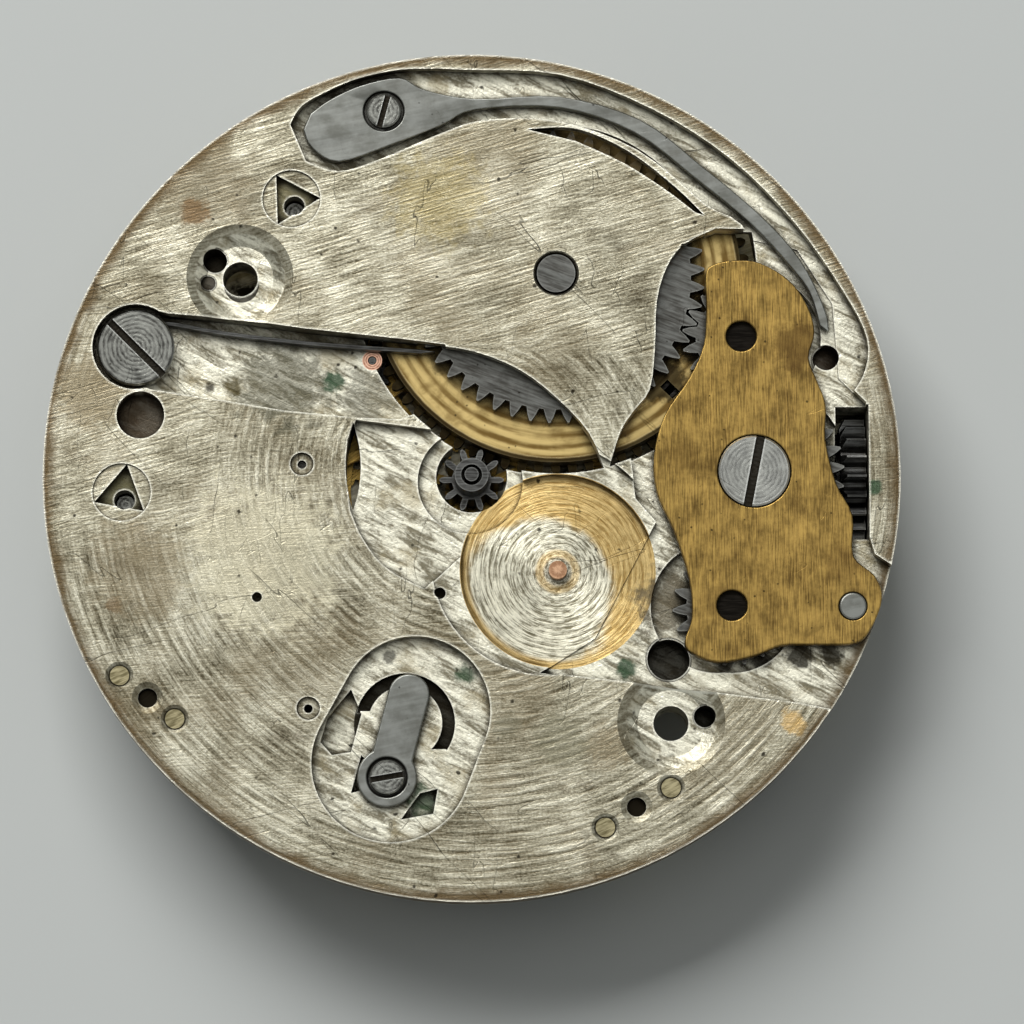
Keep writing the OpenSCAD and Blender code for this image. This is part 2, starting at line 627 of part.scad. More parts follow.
// Seat of the balance end piece, with the open groove round the island of the jewel
module end_space() {
  slab(z_end, movement_h + over) link_2d([-1.92, -8.14], 2.56, [-2.74, -9.92], 2.7);
  difference() {
    hole(balance_pos, z_end - 0.55, z_end + over, island_r + 0.44);
    hole(balance_pos, z_end - 1, z_end + 1, island_r);
    translate([balance_x - 3, balance_y - 3, z_end - 1]) cube([2.2, 3.4, 2]);
    translate([balance_x - 1.2, balance_y - 3, z_end - 1]) cube([2.6, 2.1, 2]);
  }
  slab(z_end - 0.5, z_end + over)
    polygon([[-5.15, -9.15], [-4.9, -8.3], [-4.1, -7.35], [-3.75, -8.2], [-4.1, -9.5], [-4.75, -9.6]]);
  slab(z_end - 0.7, z_end + over) polygon([[-4.1, -10.9], [-3.75, -9.6], [-3.6, -9.75], [-3.7, -10.8]]);
  slab(z_end - 0.4, z_end + over)
    polygon([[-2.4, -11.8], [-1.3, -11.6], [-1.15, -10.75], [-1.75, -10.9], [-2.05, -11.3]]);
}
// Room in which the pallet fork swings, with its stones and the balance's impulse pin
module fork_room() {
  slabs(z_fork, z_fork + fork_t + air) {
    translate(pallet_pos) circle(norm(outside_tips(1, stone_l)) + side_gap);
    link_2d(pallet_pos, 0.6, balance_pos, impulse_r + impulse_pin_r + side_gap);
  }
}
// Room in which the third wheel turns
module third_wheel_room() {
  third_tip_r = third_module * (third_teeth / 2 + 1);
  hole(third_pos, z_third - air / 2, z_third + train_t + air / 2, third_tip_r + side_gap / 2);
}
// Room in which the flat wheels turn, a shallow recess where it reaches the plate
module wheel_space() {
  fourth_tip_r = fourth_module * (fourth_teeth / 2 + 1);
  fork_room();
  hole(fourth_pos, z_fourth, z_fourth + train_t + air + 0.04, fourth_tip_r + side_gap);
  hole(escape_pos, z_escape, z_escape + escape_t + air, escape_r + side_gap);
}
// Bores of the balance and of the train
module pivot_bores() {
  hole(balance_pos, z_under - over, z_end, 0.4);
  hole(balance_pos, z_end - 0.3, z_end + over, 0.5);
  hole(third_pos, z_under - over, z_channel + over, 0.34);
  hole(fourth_pos, z_under - over, movement_h - 0.7, 0.34);
  hole(fourth_pos, z_under, movement_h, pivot_hole_r);
  hole(fourth_pos, movement_h - 0.15, movement_h + over, 0.4);
  hole(escape_pos, z_under - over, z_escape_leaves + 0.25, 0.75);
  hole(escape_pos, z_under, z_escape_leaves + 0.75, pivot_hole_r);
  hole(pallet_pos, z_under - over, z_under + 0.5, 0.45);
  hole(pallet_pos, z_under, movement_h, pivot_hole_r);
  hole(pallet_pos, movement_h - 0.15, movement_h + over, 0.4);
}
// Holes of the screws
module screw_bores() {
  hole(end_screw_pos, z_under - over, z_end + over, 0.32);
  hole(crown_pos, z_under + 0.4, z_wheel, 0.55);
  hole(click_screw_pos, z_under + 0.3, z_channel + over, 0.6);
  hole(return_screw_pos, z_under + 0.3, z_shelf + over, 0.32);
  hole(post_pos, z_post_recess - post_foot_l - over, z_post_recess + over, post_foot_r);
  hole(spring_hole_pos, z_under + 0.8, z_shelf + over, 0.44);
  for (p = concat([train_feet[2]], barrel_feet)) hole(p, z_under - over, z_under + 1.1, bridge_thread_r);
}
// Dial feet, and the other holes seen from above
module dial_bores() {
  for (p = dial_feet) dished_foot_hole(p);
  hole(foot_screw_holes[0], z_under + 0.6, movement_h + over, 0.41);
  hole(foot_screw_holes[1], z_under + 0.6, movement_h + over, 0.37);
  hole([-9.05, 6.71], movement_h - 0.5, movement_h + over, 0.25);
  hole(blind_hole_pos, movement_h - 0.9, movement_h + over, blind_hole_r);
  hole(deep_hole_pos, movement_h - 2, movement_h + over, deep_hole_r);
}
// Screw ends and steady pins of the bridges and cocks, and the small oil holes
module fixing_bores() {
  triangle_pocket(train_feet[0] + [-0.09, 0.2], train_feet[0], 2);
  triangle_pocket(train_feet[1] + [-0.08, 0.23], train_feet[1], -40);
  for (p = concat(steady_left, steady_right)) {
    hole(p, z_under - over, movement_h + over, steady_r);
    sunk_ring(p, steady_r, 0.48);
  }
  for (p = [cock_screw_left, cock_screw_right]) {
    hole(p, z_under - over, movement_h + over, cock_thread_r);
    sunk_ring(p, cock_thread_r, 0.54);
  }
  hole([-7.31, -4.24], movement_h - 0.3, movement_h + over, 0.17);
  hole([-2.71, -6.26], movement_h - 0.3, movement_h + over, 0.17);
  hole([-1.08, -4.07], movement_h - 0.6, movement_h + over, 0.2);
}
module plate_blank() {
  disc(z_flange, movement_h, plate_r);
  disc(z_under, z_flange + over, body_r);
  stem_block();
}
module plate_with_spaces() {
  difference() {
    difference() {
      difference() {
        plate_blank();
        barrel_space();
      }
      slab(z_shelf, movement_h + over) shelf_2d();
      slab(z_channel, movement_h + over) channel_2d();
    }
    keyless_space();
  }
}
module main_plate() {
  color(c_nickel) difference() {
    difference() {
      difference() {
        difference() {
          plate_with_spaces();
          stem_space();
        }
        dial_train_space();
      }
      end_space();
    }
    wheel_space();
    pivot_bores();
    screw_bores();
    dial_bores();
    fixing_bores();
  }
}
module minute_wheel_post() {
  color(c_brass) at(post_pos) {
    disc(z_post_recess - post_foot_l, z_post_recess + over, post_foot_r);
    disc(z_post_recess, movement_h - post_drop, post_r);
  }
}
module plate_jewels() {
  color(c_copper) at(third_pos) disc(z_channel - 0.4, z_channel, 0.34, pivot_hole_r);
  color(c_ruby) at(pallet_pos) disc(z_under + 0.15, z_under + 0.5, 0.45, pivot_hole_r);
}
module lower_balance_jewel() {
  color(c_ruby) at(balance_pos) disc(z_end - balance_jewel_h, z_end, balance_jewel_r, pivot_hole_r);
}
end_piece_t = 0.3;
module lower_end_stone() {
  color(c_ruby) at(balance_pos) disc(z_end, z_end + end_stone_h, lower_stone_r);
}
module end_piece() {
  color(c_steel) difference() {
    slabs(z_end, z_end + end_piece_t) {
      translate(end_screw_pos) circle(1.02);
      link_2d(end_screw_pos, 0.7, end_tip_pos, 0.7);
    }
    hole(end_screw_pos, z_end - over, z_end + 1, small_shank_r + shank_gap);
    hole(end_screw_pos, z_end + end_head_seat, z_end + 1, return_head_r + 0.1);
    hole(balance_pos, z_end - over, z_end + end_stone_h, lower_stone_r);
  }
}
module end_piece_screw() {
  z_head = z_end + end_head_seat + small_head_h;
  color(c_steel) at(end_screw_pos)
    screw(z_head, small_head_h, return_head_r, z_under + 0.2, small_shank_r, 1, 10);
}
module return_spring() {
  color(c_steel) difference() {
    slab(z_shelf, z_shelf + return_spring_t) return_spring_2d();
    hole(return_screw_pos, z_shelf - over, z_shelf + 1, small_shank_r + shank_gap);
    hole(return_screw_pos, z_shelf + return_spring_t - return_head_sink, z_shelf + 1, return_head_r + 0.12);
  }
}
module return_spring_screw() {
  z_head = z_shelf + return_spring_t - return_head_sink + small_head_h;
  color(c_steel) at(return_screw_pos)
    screw(z_head, small_head_h, return_head_r, z_under + 0.4, small_shank_r, 1, 75);
}
module rocking_bar() {
  color(c_gold) difference() {
    slab(z_bar, z_bar_top) bar_2d();
    hole(crown_pos, z_bar - over, z_bar_top + over, bar_shoulder_r + running);
    hole(crown_pos, z_bar_top - bar_head_h + 0.04, z_bar_top + over, bar_screw_head_r + running);
    for (p = [drive_pos, setting_pos]) hole(p, z_bar - over, z_bar_top + over, stud_thread_r);
    hole(bar_pin_pos, z_bar - over, z_bar_top + over, bar_pin_r);
  }
}
module rocking_bar_screw() {
  color(c_steel) at(crown_pos) {
    difference() {
      union() {
        disc(z_bar_top - bar_head_h + 0.07, z_bar_top + 0.06, bar_screw_head_r);
        disc(z_wheel_floor, z_bar_top - bar_head_h + 0.08, bar_shoulder_r);
        disc(z_under + 0.45, z_wheel_floor + over, 0.55);
      }
      rotate([0, 0, 79]) translate([-2, -0.16, z_bar_top - 0.1]) cube([4, 0.32, 1]);
    }
  }
}
module bar_pin() {
  color(c_steel) at(bar_pin_pos) disc(z_bar, z_bar_top + 0.05, bar_pin_r);
}
// Headed studs of the two small wheels, screwed up into the bar
module wheel_stud() {
  disc(z_wheel + 0.01, z_wheel + stud_head_h - 0.02, stud_head_r);
  disc(z_wheel + 0.02, z_bar, stud_r);
  disc(z_bar - over / 2, z_bar_top - 0.2, stud_thread_r);
}
module wheel_studs() {
  color(c_dark) for (p = [drive_pos, setting_pos]) at(p) wheel_stud();
}
module small_wheel(turn) {
  difference() {
    slab(z_wheel, z_wheel_top) pointed_gear_2d(small_teeth, keyless_module, turn);
    disc(z_wheel - over, z_wheel_top + over, stud_r + running);
    disc(z_wheel - over, z_wheel + stud_head_h, stud_head_r + running);
  }
}
module ratchet_drive_wheel() {
  color(c_steel) at(drive_pos) small_wheel(drive_turn);
}
module crown_wheel() {
  color(c_steel) at(crown_pos) slab(z_wheel, z_wheel_top) difference() {
    pointed_gear_2d(crown_teeth, keyless_module, crown_turn);
    circle(bar_shoulder_r + running);
  }
}
module setting_wheel() {
  color(c_steel) at(setting_pos) small_wheel(setting_turn);
}
module winding_pinion() {
  square_hole = 0.72;
  color(c_dark) translate([winding_x0, crown_y, stem_z]) rotate([90, 0, 90]) difference() {
    union() {
      linear_extrude(winding_t) pointed_gear_2d(winding_teeth, keyless_module, winding_turn);
      translate([0, 0, -0.12]) cylinder(h = 0.13, r = 1);
    }
    // Bevel of the face towards the crown wheel
    translate([0, 0, -over]) difference() {
      cylinder(h = 0.3, r = winding_tip_r + 1);
      translate([0, 0, -0.01]) cylinder(h = 0.32, r1 = winding_pitch_r - 0.2, r2 = winding_tip_r + 0.12);
    }
    translate([-square_hole / 2, -square_hole / 2, -1]) cube([square_hole, square_hole, 3]);
  }
}
module click_spring() {
  foot = click_screw_pos;
  color(c_dark) difference() {
    slabs(z_channel + 0.02, z_channel + 0.02 + keyless_t) {
      translate(foot) circle(1.05);
      polygon(concat(blade_edge(blade_t / 2), [click_tip], blade_edge_back(blade_t / 2)));
    }
    hole(foot, z_channel - over, z_channel + 1, click_shank_r + 0.02);
  }
}
blade_line = [[-11.3, 5.35], [-10.28, 5.32], [-8.53, 5.0], [-5.75, 4.66], [-3.6, 4.5], [-1.75, 4.36]];
blade_points = smooth_path(blade_line, 3);
function blade_edge(h) = [for (p = blade_points) p + [0, h]];
function blade_edge_back(h) = [for (i = [len(blade_points) - 1:-1:0]) blade_points[i] - [0, h]];
module click_screw() {
  z_head = z_channel + 0.04 + keyless_t + click_head_h;
  color(c_steel) at(click_screw_pos)
    screw(z_head, click_head_h, click_head_r, z_under + 0.4, click_shank_r, 1, -45, 0.26);
}

/* Barrel */
arbor_square = 1.3;
module ratchet_wheel() {
  color(c_steel) at(barrel_pos) slab(z_ratchet, z_ratchet_top) difference() {
    pointed_gear_2d(ratchet_teeth, ratchet_module, ratchet_turn);
    square(arbor_square + 0.04, center = true);
  }
}
cover_r = drum_r - 0.15;
module barrel_drum() {
  color(c_gold) at(barrel_pos) difference() {
    union() {
      disc(z_drum, z_cover_top, drum_r);
      slab(z_barrel_teeth, z_barrel_teeth + barrel_flange_t)
        gear_2d(barrel_teeth, barrel_module, barrel_turn, add = barrel_addendum, ded = 1.4, share = 0.46);
    }
    disc(z_drum + drum_floor, z_cover_top + over, drum_r - drum_wall);
    disc(z_cover, z_cover_top + over, cover_r);
    disc(z_drum - over, z_cover_top, arbor_bearing_r + running);
  }
}
arbor_bearing_r = 0.95;
module barrel_cover() {
  color(c_gold) at(barrel_pos) difference() {
    disc(z_cover, z_cover_top, cover_r);
    disc(z_cover - over, z_cover_top + over, arbor_bearing_r + running);
    rotate([0, 0, -44.5]) translate([5.2, -0.18, z_cover - over]) cube([0.6, 0.36, 1]);
  }
}
module barrel_arbor() {
  color(c_steel) at(barrel_pos) {
    disc(bridge_t - 0.85, z_drum - 0.04, 0.8);
    disc(z_drum - 0.05, z_drum + drum_floor, arbor_bearing_r);
    disc(z_drum + drum_floor + 0.02, z_cover - 0.02, core_r);
    disc(z_drum + drum_floor - 0.01, z_cover + 0.01, arbor_bearing_r);
    disc(z_cover - 0.03, z_ratchet, arbor_bearing_r);
    slab(z_ratchet - 0.01, z_ratchet_top) square(arbor_square, center = true);
    disc(z_ratchet_top - 0.01, movement_h - 0.02, arbor_end_r);
  }
}
module mainspring() {
  color(c_blue) at(barrel_pos) slab(z_drum + drum_floor + 0.04, z_cover - 0.04)
    spiral_2d(core_r + mainspring_t / 2 + 0.02, drum_r - drum_wall - mainspring_t / 2 - 0.02,
      mainspring_turns, mainspring_t, 40);
}

/* Going train */
z_centre_leaves = movement_h - 1.3;
centre_arbor_wide_r = 0.5;
third_arbor_r = 0.26;
fourth_arbor_r = 0.24;
escape_arbor_r = 0.2;
module centre_pinion() {
  color(c_steel) difference() {
    union() {
      slab(z_centre + train_t, z_centre_leaves)
        gear_2d(pinion_leaves, barrel_module, centre_pinion_turn, add = 0.85, ded = 1.4, share = 0.36);
      disc(bridge_t - 0.5, z_centre + train_t + 0.01, centre_arbor_wide_r);
      disc(z_centre_leaves - 0.01, movement_h - 0.12, centre_pipe_r);
    }
    disc(0, movement_h + 1, centre_arbor_r + running);
    disc(movement_h - 0.6, movement_h, centre_arbor_r + 0.12);
  }
}
module centre_arbor() {
  color(c_steel) {
    disc(bridge_t - 0.9, movement_h - 0.03, centre_arbor_r);
    disc(bridge_t - 0.9, bridge_t - 0.7, centre_arbor_wide_r);
  }
}
// Wheel with crossings: rim, hub and five arms
module crossed_wheel(n, m, turn, bore, z, rim) {
  root = n * m / 2 - 1.3 * m;
  slab(z, z + train_t) difference() {
    gear_2d(n, m, turn, add = 0.95, ded = 1.3, share = 0.44);
    circle(bore);
    difference() {
      circle(root - rim);
      circle(bore + 0.42);
      for (k = [0:4]) rotate(k * 72 + 20) translate([0, -0.17]) square([root, 0.34]);
    }
  }
}
// Pinion with its arbor and pivots
module pinion(n, m, turn, z0, z1, z_shoulder, z_tip, arbor_r) {
  slab(z0, z1) gear_2d(n, m, turn, add = 0.75, ded = 1.3, share = 0.36);
  disc(bridge_t + 0.03, z_shoulder, arbor_r);
  disc(bridge_t - 0.5, z_tip, pivot_r);
}
module centre_wheel() {
  color(c_brass)
    crossed_wheel(centre_teeth, centre_module, centre_turn, centre_arbor_wide_r, z_centre, 0.42);
}
module third_pinion() {
  color(c_steel) at(third_pos) pinion(pinion_leaves, centre_module, third_pinion_turn,
    z_third + train_t + 0.04, z_centre + train_t + 0.06, z_barrel_teeth - 0.3, z_channel - 0.04,
    third_arbor_r);
}
module third_wheel() {
  color(c_brass) at(third_pos)
    crossed_wheel(third_teeth, third_module, third_turn, third_arbor_r, z_third, 0.36);
}
module fourth_pinion() {
  color(c_steel) at(fourth_pos) pinion(pinion_leaves, third_module, fourth_pinion_turn,
    z_third - 0.06, z_third + train_t + 0.14, movement_h - 0.73, movement_h - 0.3, fourth_arbor_r);
}
module fourth_wheel() {
  color(c_brass) at(fourth_pos)
    crossed_wheel(fourth_teeth, fourth_module, fourth_turn, fourth_arbor_r, z_fourth, 0.36);
}
module escape_pinion() {
  color(c_steel) at(escape_pos) pinion(escape_leaves, fourth_module, escape_pinion_turn,
    z_fourth - 0.04, z_escape_leaves, z_escape_leaves + 0.22, z_escape_leaves + 0.65, escape_arbor_r);
}
// Club tooth of the escape wheel, leaning forward
function club(k, r) =
  let(a = escape_turn + k * 360 / escape_teeth)
  [from([0, 0], r * 0.8, a - 4.5), from([0, 0], r * 0.86, a - 0.5), from([0, 0], r * 0.955, a + 1.8),
   from([0, 0], r * 0.985, a + 2.4), from([0, 0], r, a + 5.6), from([0, 0], r * 0.93, a + 4.4),
   from([0, 0], r * 0.86, a + 3.4), from([0, 0], r * 0.8, a + 4.8)];
// A tooth stands just before the first stone, as the wheel is held between two beats
escape_turn = bearing(escape_pos, pallet_pos) + 10.3;
module escape_wheel() {
  color(c_steel) at(escape_pos) slab(z_escape, z_escape + escape_t) difference() {
    polygon([for (k = [0:escape_teeth - 1]) each club(k, escape_r)]);
    circle(escape_arbor_r);
    difference() {
      circle(escape_r * 0.8 - 0.32);
      circle(0.62);
      for (k = [0:3]) rotate(k * 90 + 20) translate([0, -0.14]) square([escape_r, 0.28]);
    }
  }
}

/* Escapement */
fork_line = bearing(pallet_pos, balance_pos);
stone_w = 0.2;
stone_l = 0.66;
// Point outside the escape wheel's tips, on the ray of one stone, seen from the pallet axis
function stone_ray(side) = bearing(escape_pos, pallet_pos) + side * pallet_half_angle;
function outside_tips(side, out) = from(escape_pos, escape_r + out, stone_ray(side)) - pallet_pos;
impulse_r = 0.75;
impulse_pin_r = 0.08;
fork_reach = dist(pallet_pos, balance_pos) - impulse_r;
module stone_2d(side) {
  translate(outside_tips(side, stone_l / 2 - 0.1)) rotate(stone_ray(side))
    square([stone_l, stone_w], center = true);
}
module pallet_fork() {
  color(c_steel) at(pallet_pos) difference() {
    slabs(z_fork, z_fork + fork_t) {
      circle(0.55);
      link_2d([0, 0], 0.32, outside_tips(-1, 0.6), 0.27);
      link_2d([0, 0], 0.32, outside_tips(1, 0.6), 0.27);
      rotate(fork_line) polygon([
        [0.1, 0.3], [fork_reach - 0.5, 0.14], [fork_reach - 0.35, 0.4], [fork_reach + 0.16, 0.36],
        [fork_reach + 0.16, -0.36], [fork_reach - 0.35, -0.4], [fork_reach - 0.5, -0.14], [0.1, -0.3]
      ]);
    }
    slabs(z_fork - over, z_fork + fork_t + over) {
      circle(0.16);
      rotate(fork_line) translate([fork_reach - 0.25, -0.11]) square([1, 0.22]);
      stone_2d(-1);
      stone_2d(1);
    }
  }
}
module pallet_stones() {
  color(c_ruby) for (side = [-1, 1]) at(pallet_pos) slab(z_fork, z_fork + fork_t) stone_2d(side);
}
module pallet_arbor() {
  color(c_steel) at(pallet_pos) {
    disc(z_pallet_cock_top + 0.04, z_under + 0.12, 0.16);
    disc(z_pallet_cock + 0.06, z_pallet_cock_top + 0.05, pivot_r);
    disc(z_under + 0.11, z_under + 0.45, pivot_r);
  }
}
balance_rim_w = 0.42;
rim_thread_r = 0.09;
collet_bore_r = 0.3;
hub_bore_r = 0.32;
roller_bore_r = 0.24;
module balance_wheel() {
  arm_h = 0.2;
  color(c_gold) at(balance_pos) difference() {
    union() {
      disc(z_balance, z_balance_top, balance_r, balance_r - balance_rim_w);
      translate([0, 0, z_balance + 0.1]) {
        cylinder(h = arm_h, r = 0.75);
        rotate([0, 0, 35]) translate([-balance_r + 0.2, -0.26, 0]) cube([2 * balance_r - 0.4, 0.52, arm_h]);
      }
    }
    disc(z_balance - over, z_balance_top, hub_bore_r);
    for (k = [0:balance_screw_count - 1]) balance_screw_place(k)
      translate([0, 0, -0.3]) cylinder(h = 0.5, r = rim_thread_r);
  }
}
module balance_screw_place(k) {
  rotate([0, 0, (k + 0.5) * 360 / balance_screw_count + 35])
    translate([balance_r, 0, z_balance + balance_rim_h / 2]) rotate([0, 90, 0]) children();
}
module balance_screws() {
  color(c_gold) at(balance_pos) for (k = [0:balance_screw_count - 1]) balance_screw_place(k) {
    translate([0, 0, 0.01]) cylinder(h = 0.26, r = 0.16);
    translate([0, 0, -0.28]) cylinder(h = 0.3, r = rim_thread_r);
  }
}
module balance_staff() {
  color(c_steel) at(balance_pos) {
    disc(z_balance - 0.16, z_balance + 0.1, collet_bore_r);
    disc(z_balance + 0.09, z_roller, hub_bore_r);
    disc(z_roller - 0.01, z_under + 0.6, roller_bore_r);
    disc(z_under + 0.59, z_end - 0.33, 0.18);
    disc(z_end - 0.34, z_end - 0.02, pivot_r);
    disc(cock_drop + 0.33, z_balance - 0.15, 0.2);
    disc(cock_drop + 0.02, cock_drop + 0.34, pivot_r);
  }
}
module roller_table() {
  color(c_steel) at(balance_pos) difference() {
    disc(z_roller, z_roller + roller_t, 0.95, roller_bore_r);
    at(from([0, 0], impulse_r, fork_line + 180), z_roller - over) cylinder(h = 1, r = impulse_pin_r);
  }
}
module impulse_pin() {
  color(c_ruby) at(from(balance_pos, impulse_r, fork_line + 180))
    disc(z_roller, z_fork + fork_t + 0.04, impulse_pin_r);
}
hairspring_turn = 250;
module hairspring() {
  color(c_blue) at(balance_pos) slab(z_hairspring, z_hairspring + hairspring_h)
    spiral_2d(0.53, hairspring_r, hairspring_turns, 0.05, hairspring_turn);
}
module hairspring_collet() {
  color(c_brass) at(balance_pos) disc(z_hairspring - 0.02, z_balance - 0.01, 0.5, collet_bore_r);
}
stud_place = from(balance_pos, hairspring_r + 0.18, hairspring_turn);
module hairspring_stud() {
  color(c_steel) at(stud_place) disc(cock_drop + 0.05, z_hairspring + hairspring_h, 0.15);
}

/* Bridges and cocks */
jewel_seats = [third_pos, fourth_pos, escape_pos];
jewel_h = 0.6;
module bridge_screw_hole(p) {
  hole(p, -over, z_under + over, bridge_thread_r + 0.05);
  hole(p, -over, 0.38, bridge_head_r + 0.1);
}
// Line between the two bridges
bridge_split = [
  [-8.4, 15], [-6.48, 11.9], [-4.45, 9.48], [-1.75, 7.28], [0.15, 4.1], [1.98, 2.05], [4.35, -0.95],
  [6.55, -3.15], [7.5, -5.3]
];
// The split line moved sideways
function beside_split(shift) =
  let(n = len(bridge_split))
  [for (i = [0:n - 1])
    let(d = bridge_split[min(i + 1, n - 1)] - bridge_split[max(i - 1, 0)])
    bridge_split[i] + shift * [-d[1], d[0]] / norm(d)];
// Edge of the barrel bridge, from the split line's lower end round the rim
barrel_edge = [[9.6, -8.2], [13, -11], [18, -6], [18, 18], [-8, 18]];
module barrel_bridge_2d() {
  intersection() {
    circle(bridge_edge_r);
    polygon(concat(smooth_path(beside_split(bridge_gap / 2), 4), barrel_edge));
  }
}
module barrel_bridge() {
  color(c_nickel) difference() {
    union() {
      slab(0, bridge_t) barrel_bridge_2d();
      for (p = barrel_feet) at(p) disc(bridge_t - over, z_under, foot_r);
    }
    hole(barrel_pos, -over, bridge_t + over, 0.8 + running);
    hole(barrel_pos, -over, 0.35, 1.35);
    translate([pinion_slot_x0, crown_y - winding_tip_r + 0.3, -over])
      cube([pinion_slot_x1 - pinion_slot_x0, 2 * winding_tip_r - 0.6, bridge_t + 2 * over]);
    for (p = barrel_feet) bridge_screw_hole(p);
  }
}
// Lower edge of the train bridge, from the split line round to the rim
train_edge = [
  [5.6, -6.7], [4.2, -7.6], [0, -8], [-7.9, -7.4], [-8.6, -5.6], [-10.2, -4.6], [-18, -4.2], [-18, 15]
];
balance_clear_r = balance_r + 0.55;
module train_bridge_2d() {
  difference() {
    intersection() {
      circle(bridge_edge_r);
      polygon(concat(smooth_path(beside_split(-bridge_gap / 2), 4), train_edge));
    }
    translate(balance_pos) circle(balance_clear_r);
  }
}
module train_bridge() {
  color(c_nickel) difference() {
    union() {
      slab(0, bridge_t) train_bridge_2d();
      for (p = train_feet) at(p) disc(bridge_t - over, z_under, foot_r);
    }
    third_wheel_room();
    for (p = train_feet) bridge_screw_hole(p);
    for (p = jewel_seats) {
      hole(p, bridge_t - jewel_h, bridge_t + over, jewel_r);
      hole(p, -over, bridge_t, jewel_r * 0.7);
      at(p, -0.001) cylinder(h = 0.22, r1 = jewel_r * 1.25, r2 = jewel_r * 0.7);
    }
    hole([0, 0], -over, bridge_t + over, 0.53);
    hole([0, 0], -over, 0.32, 0.8);
  }
}
module bridge_jewels() {
  color(c_ruby) for (p = jewel_seats) at(p) disc(bridge_t - jewel_h, bridge_t, jewel_r, pivot_hole_r);
}
module bridge_screws() {
  color(c_steel) for (p = concat(train_feet, barrel_feet)) at(p)
    screw(0.02, 0.36, bridge_head_r, z_under + 1, bridge_thread_r, -1, 30 + 47 * p[0]);
}
// Foot of a cock, round its screw and two steady pins
module cock_foot_2d(pins, mid) {
  link_2d(pins[0], 0.85, pins[1], 0.85);
  translate(mid) circle(1.15);
}
module pallet_cock() {
  color(c_nickel) difference() {
    union() {
      slab(z_pallet_cock, z_under) intersection() {
        cock_foot_2d(steady_left, cock_screw_left);
        circle(body_r - 0.05);
      }
      slab(z_pallet_cock, z_pallet_cock_top) intersection() {
        link_2d(cock_screw_left, 1.1, pallet_pos, 0.75);
        circle(body_r - 0.05);
      }
    }
    fork_room();
    hole(pallet_pos, z_pallet_cock - over, z_under, pivot_hole_r);
    hole(cock_screw_left, z_pallet_cock - over, z_under + over, cock_thread_r + 0.04);
    for (p = steady_left) hole(p, z_pallet_cock - over, z_under + over, steady_r);
  }
}
cap_r = 0.95;
module balance_cock() {
  color(c_nickel) difference() {
    union() {
      slab(cock_drop, z_under) intersection() {
        cock_foot_2d(steady_right, cock_screw_right);
        circle(body_r - 0.05);
      }
      slab(cock_drop, z_cock) {
        link_2d(cock_screw_right, 1.35, balance_pos, 1.42);
        link_2d(balance_pos, 0.8, stud_place, 0.36);
      }
    }
    hole(balance_pos, cock_drop - over, z_cock + over, 0.4);
    hole(balance_pos, cock_drop - over, cock_drop + balance_jewel_h, balance_jewel_r);
    hole(stud_place, cock_drop - over, z_cock + over, 0.15);
    hole(cock_screw_right, cock_drop - over, z_under + over, cock_thread_r + 0.04);
    hole(cock_screw_right, cock_drop - over, cock_drop + 0.4, bridge_head_r + 0.08);
    for (p = steady_right) hole(p, cock_drop + 0.3, z_under + over, steady_r);
    for (p = cap_screw_places) hole(p, cock_drop - over, z_cock + over, 0.12);
  }
}
cap_screw_places = [for (side = [-1, 1]) from(balance_pos, 0.68, 90 * side)];
module cock_screws() {
  z_thread_end = movement_h - 0.4;
  color(c_steel) {
    at(cock_screw_left) screw(z_pallet_cock - 0.3, 0.3, 0.7, z_thread_end, cock_thread_r, -1, 20);
    at(cock_screw_right) screw(cock_drop + 0.04, 0.36, bridge_head_r, z_thread_end, cock_thread_r, -1, 60);
  }
}
module steady_pins() {
  color(c_brass) {
    for (p = steady_left) at(p) disc(z_pallet_cock + 0.02, movement_h - 0.04, steady_r);
    for (p = steady_right) at(p) disc(cock_drop + 0.3, movement_h - 0.04, steady_r);
  }
}
module upper_balance_jewel() {
  color(c_ruby) at(balance_pos) disc(cock_drop, cock_drop + balance_jewel_h, balance_jewel_r, pivot_hole_r);
}
module upper_end_stone() {
  color(c_ruby) at(balance_pos) disc(cock_drop - upper_stone_h, cock_drop, upper_stone_r);
}
module cock_cap() {
  color(c_steel) difference() {
    at(balance_pos) disc(cock_drop - 0.2, cock_drop, cap_r);
    hole(balance_pos, cock_drop - upper_stone_h, cock_drop + over, upper_stone_r);
    hole(balance_pos, 0, cock_drop, 0.24);
    for (p = cap_screw_places) hole(p, 0, cock_drop + over, 0.13);
  }
}
module cap_screws() {
  color(c_steel) for (p = cap_screw_places) at(p)
    screw(cock_drop - 0.28, 0.08, 0.2, z_cock - 0.04, 0.12, -1, 15, 0.07);
}
regulator_t = 0.14;
regulator_z = cock_drop - 0.02 - regulator_t;
pointer_angle = -10;
curb_angle = pointer_angle + 180;
module regulator() {
  color(c_steel) at(balance_pos) difference() {
    slabs(regulator_z, regulator_z + regulator_t) {
      circle(1.4);
      rotate(pointer_angle)
        polygon([[1.1, 0.4], [1.6, 0.26], [3.4, 0.06], [3.4, -0.06], [1.6, -0.26], [1.1, -0.4]]);
      rotate(curb_angle) translate([1.1, -0.26]) square([hairspring_r - 0.8, 0.52]);
    }
    disc(regulator_z - over, cock_drop, cap_r + running);
    rotate([0, 0, curb_angle]) for (r = curb_radii) hole([r, 0], regulator_z - over, cock_drop, curb_pin_r);
  }
}
curb_radii = [hairspring_r - 0.11, hairspring_r + 0.035];
curb_pin_r = 0.045;
module curb_pins() {
  color(c_brass) at(balance_pos) rotate([0, 0, curb_angle]) for (r = curb_radii)
    translate([r, 0, 0]) disc(regulator_z, z_hairspring + hairspring_h, curb_pin_r);
}

